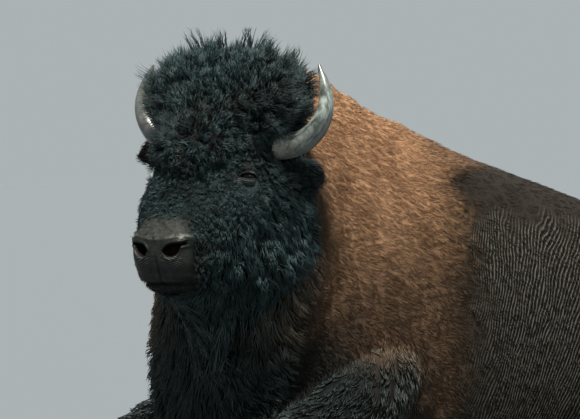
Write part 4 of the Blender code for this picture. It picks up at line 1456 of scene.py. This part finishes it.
def build_horns(look):
    """The horns, with rings and dents that fade toward the tips."""
    for name in ("horn_left", "horn_right"):
        piece = copied(name, name + "_polished")
        modify(piece, "SUBSURF", levels=2, render_levels=2)
        mesh = piece.data
        places = places_of(mesh)
        head = to_head(places)
        side = np.abs(head[:, 1])
        root = 1 - ease(side + 1.1 * np.maximum(head[:, 2], 0), 0.16, 0.30)
        ring = np.sin(side * 2 * math.pi / RING_GAP + 1.5 * waves(head, 0.05, 5)) * RING_HEIGHT
        dent = waves(head, 0.012, 6) * DENT_HEIGHT
        put_places(mesh, places + ((ring + dent) * root + HORN_OUT)[:, None] * normals_of(mesh))
        finished(piece, look, "horn", name)


def build_hooves(look):
    """Each foot's hooves and dewclaws as one piece."""
    for end in ("foreleg", "hindleg"):
        for side in ("left", "right"):
            named = [node for node in sorted(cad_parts) if f"{end}_{side}" in node]
            nodes = [node for node in named if node.startswith(("hoof", "dewclaw"))]
            piece = joined([copied(node, "claw") for node in nodes], f"hooves_{end}_{side}")
            modify(piece, "SUBSURF", levels=2, render_levels=2)
            finished(piece, look, "hoof", *nodes)


def build_eyes(look):
    """Eyeballs behind the lids, turned the way the eyes look."""
    for turn, name in zip(SIDES, ("eye_left", "eye_right")):
        bpy.ops.object.select_all(action="DESELECT")
        bpy.ops.mesh.primitive_uv_sphere_add(segments=40, ring_count=28, radius=EYE_RADIUS)
        piece = bpy.context.active_object
        piece.name = name + "_ball"
        # The ball bulges a little in the middle of the opening
        mesh = piece.data
        places = places_of(mesh)
        swell = ease(places[:, 2] / EYE_RADIUS, 0.80, 0.93) * 0.0011
        places = places * (1 + swell / EYE_RADIUS)[:, None]
        basis = axes(turn, EYE_FRONT, EYE_UP, GAZE)
        if np.linalg.det(basis) < 0:
            basis[:, 0] *= -1
        put_places(mesh, from_head(places @ basis.T + EYE * turn))
        finished(piece, look, "eye", name)


# ---- Floor, light and camera ---------------------------------------------------------------
# The camera stands far off at the left of the head, low and nearly level
VIEW_ANGLE = math.radians(-37.0)
BACK = Vector((math.sin(VIEW_ANGLE), -math.cos(VIEW_ANGLE), 0.0))
RIGHT = Vector((math.cos(VIEW_ANGLE), math.sin(VIEW_ANGLE), 0.0))
UP = Vector((0.0, 0.0, 1.0))
CAMERA = Vector(SHIFT) + BACK * 18.83 - RIGHT * 0.0355 + UP * 1.1
CAMERA_DIP = math.radians(0.93)
# Each lamp's direction, spread in degrees, power and colour
LAMPS = {
    "key": (BACK - RIGHT * 0.02 + UP * 1.70, 9.0, 7.8, (1.0, 0.965, 0.90)),
    "fill": (BACK + RIGHT * 0.9 + UP * 0.5, 12.0, 0.50, (0.82, 0.93, 1.0)),
    "rear": (RIGHT * 0.4 - BACK + UP * 1.2, 12.0, 1.0, (0.90, 0.97, 1.0)),
}


def build_stage():
    bpy.ops.object.select_all(action="DESELECT")
    bpy.ops.mesh.primitive_plane_add(size=120.0)
    floor = bpy.context.active_object
    floor.name = "floor"
    look = Look("floor", Roughness=0.9, Specular_IOR_Level=0.1, Base_Color=(*FLOOR_GREY, 1.0))
    floor.data.materials.append(look.material)
    world = bpy.data.worlds.new("studio")
    bpy.context.scene.world = world
    world.use_nodes = True
    background = world.node_tree.nodes["Background"]
    background.inputs["Color"].default_value = (*STUDIO_GREY, 1.0)
    background.inputs["Strength"].default_value = 0.82

    for name, (place, spread, power, colour) in LAMPS.items():
        light = bpy.data.lights.new(name, "SUN")
        light.angle = math.radians(spread)
        light.energy = power
        light.color = colour
        shown(name, light).rotation_euler = (-place).to_track_quat("-Z", "Y").to_euler()

    lens = bpy.data.cameras.new("camera")
    lens.lens = 400.0
    lens.sensor_width = 36.0
    lens.clip_end = 200.0
    camera = shown("camera", lens)
    camera.location = CAMERA
    camera.rotation_euler = (math.radians(90) - CAMERA_DIP, 0.0, VIEW_ANGLE)
    bpy.context.scene.camera = camera
    bpy.context.scene.view_settings.view_transform = "Standard"


# ---- The whole -----------------------------------------------------------------------------
skin = build_skin()
unwrap(skin)
finished(skin, skin_look(), "skin", *FLESH)
COATS = {
    # roughness, gloss, tint of the gloss, brightness
    "black_hair": (0.42, 0.36, (0.68, 1.0, 1.0), 1.95),
    "brown_cape": (0.65, 0.12, (1.0, 0.92, 0.82), 1.35),
    "dark_coat": (0.55, 0.14, (0.95, 1.0, 0.95), 1.6),
}
dress(skin, {name: coat_look(name, *values) for name, values in COATS.items()})
build_horns(horn_look())
build_hooves(hoof_look())
build_eyes(eye_look())
build_stage()
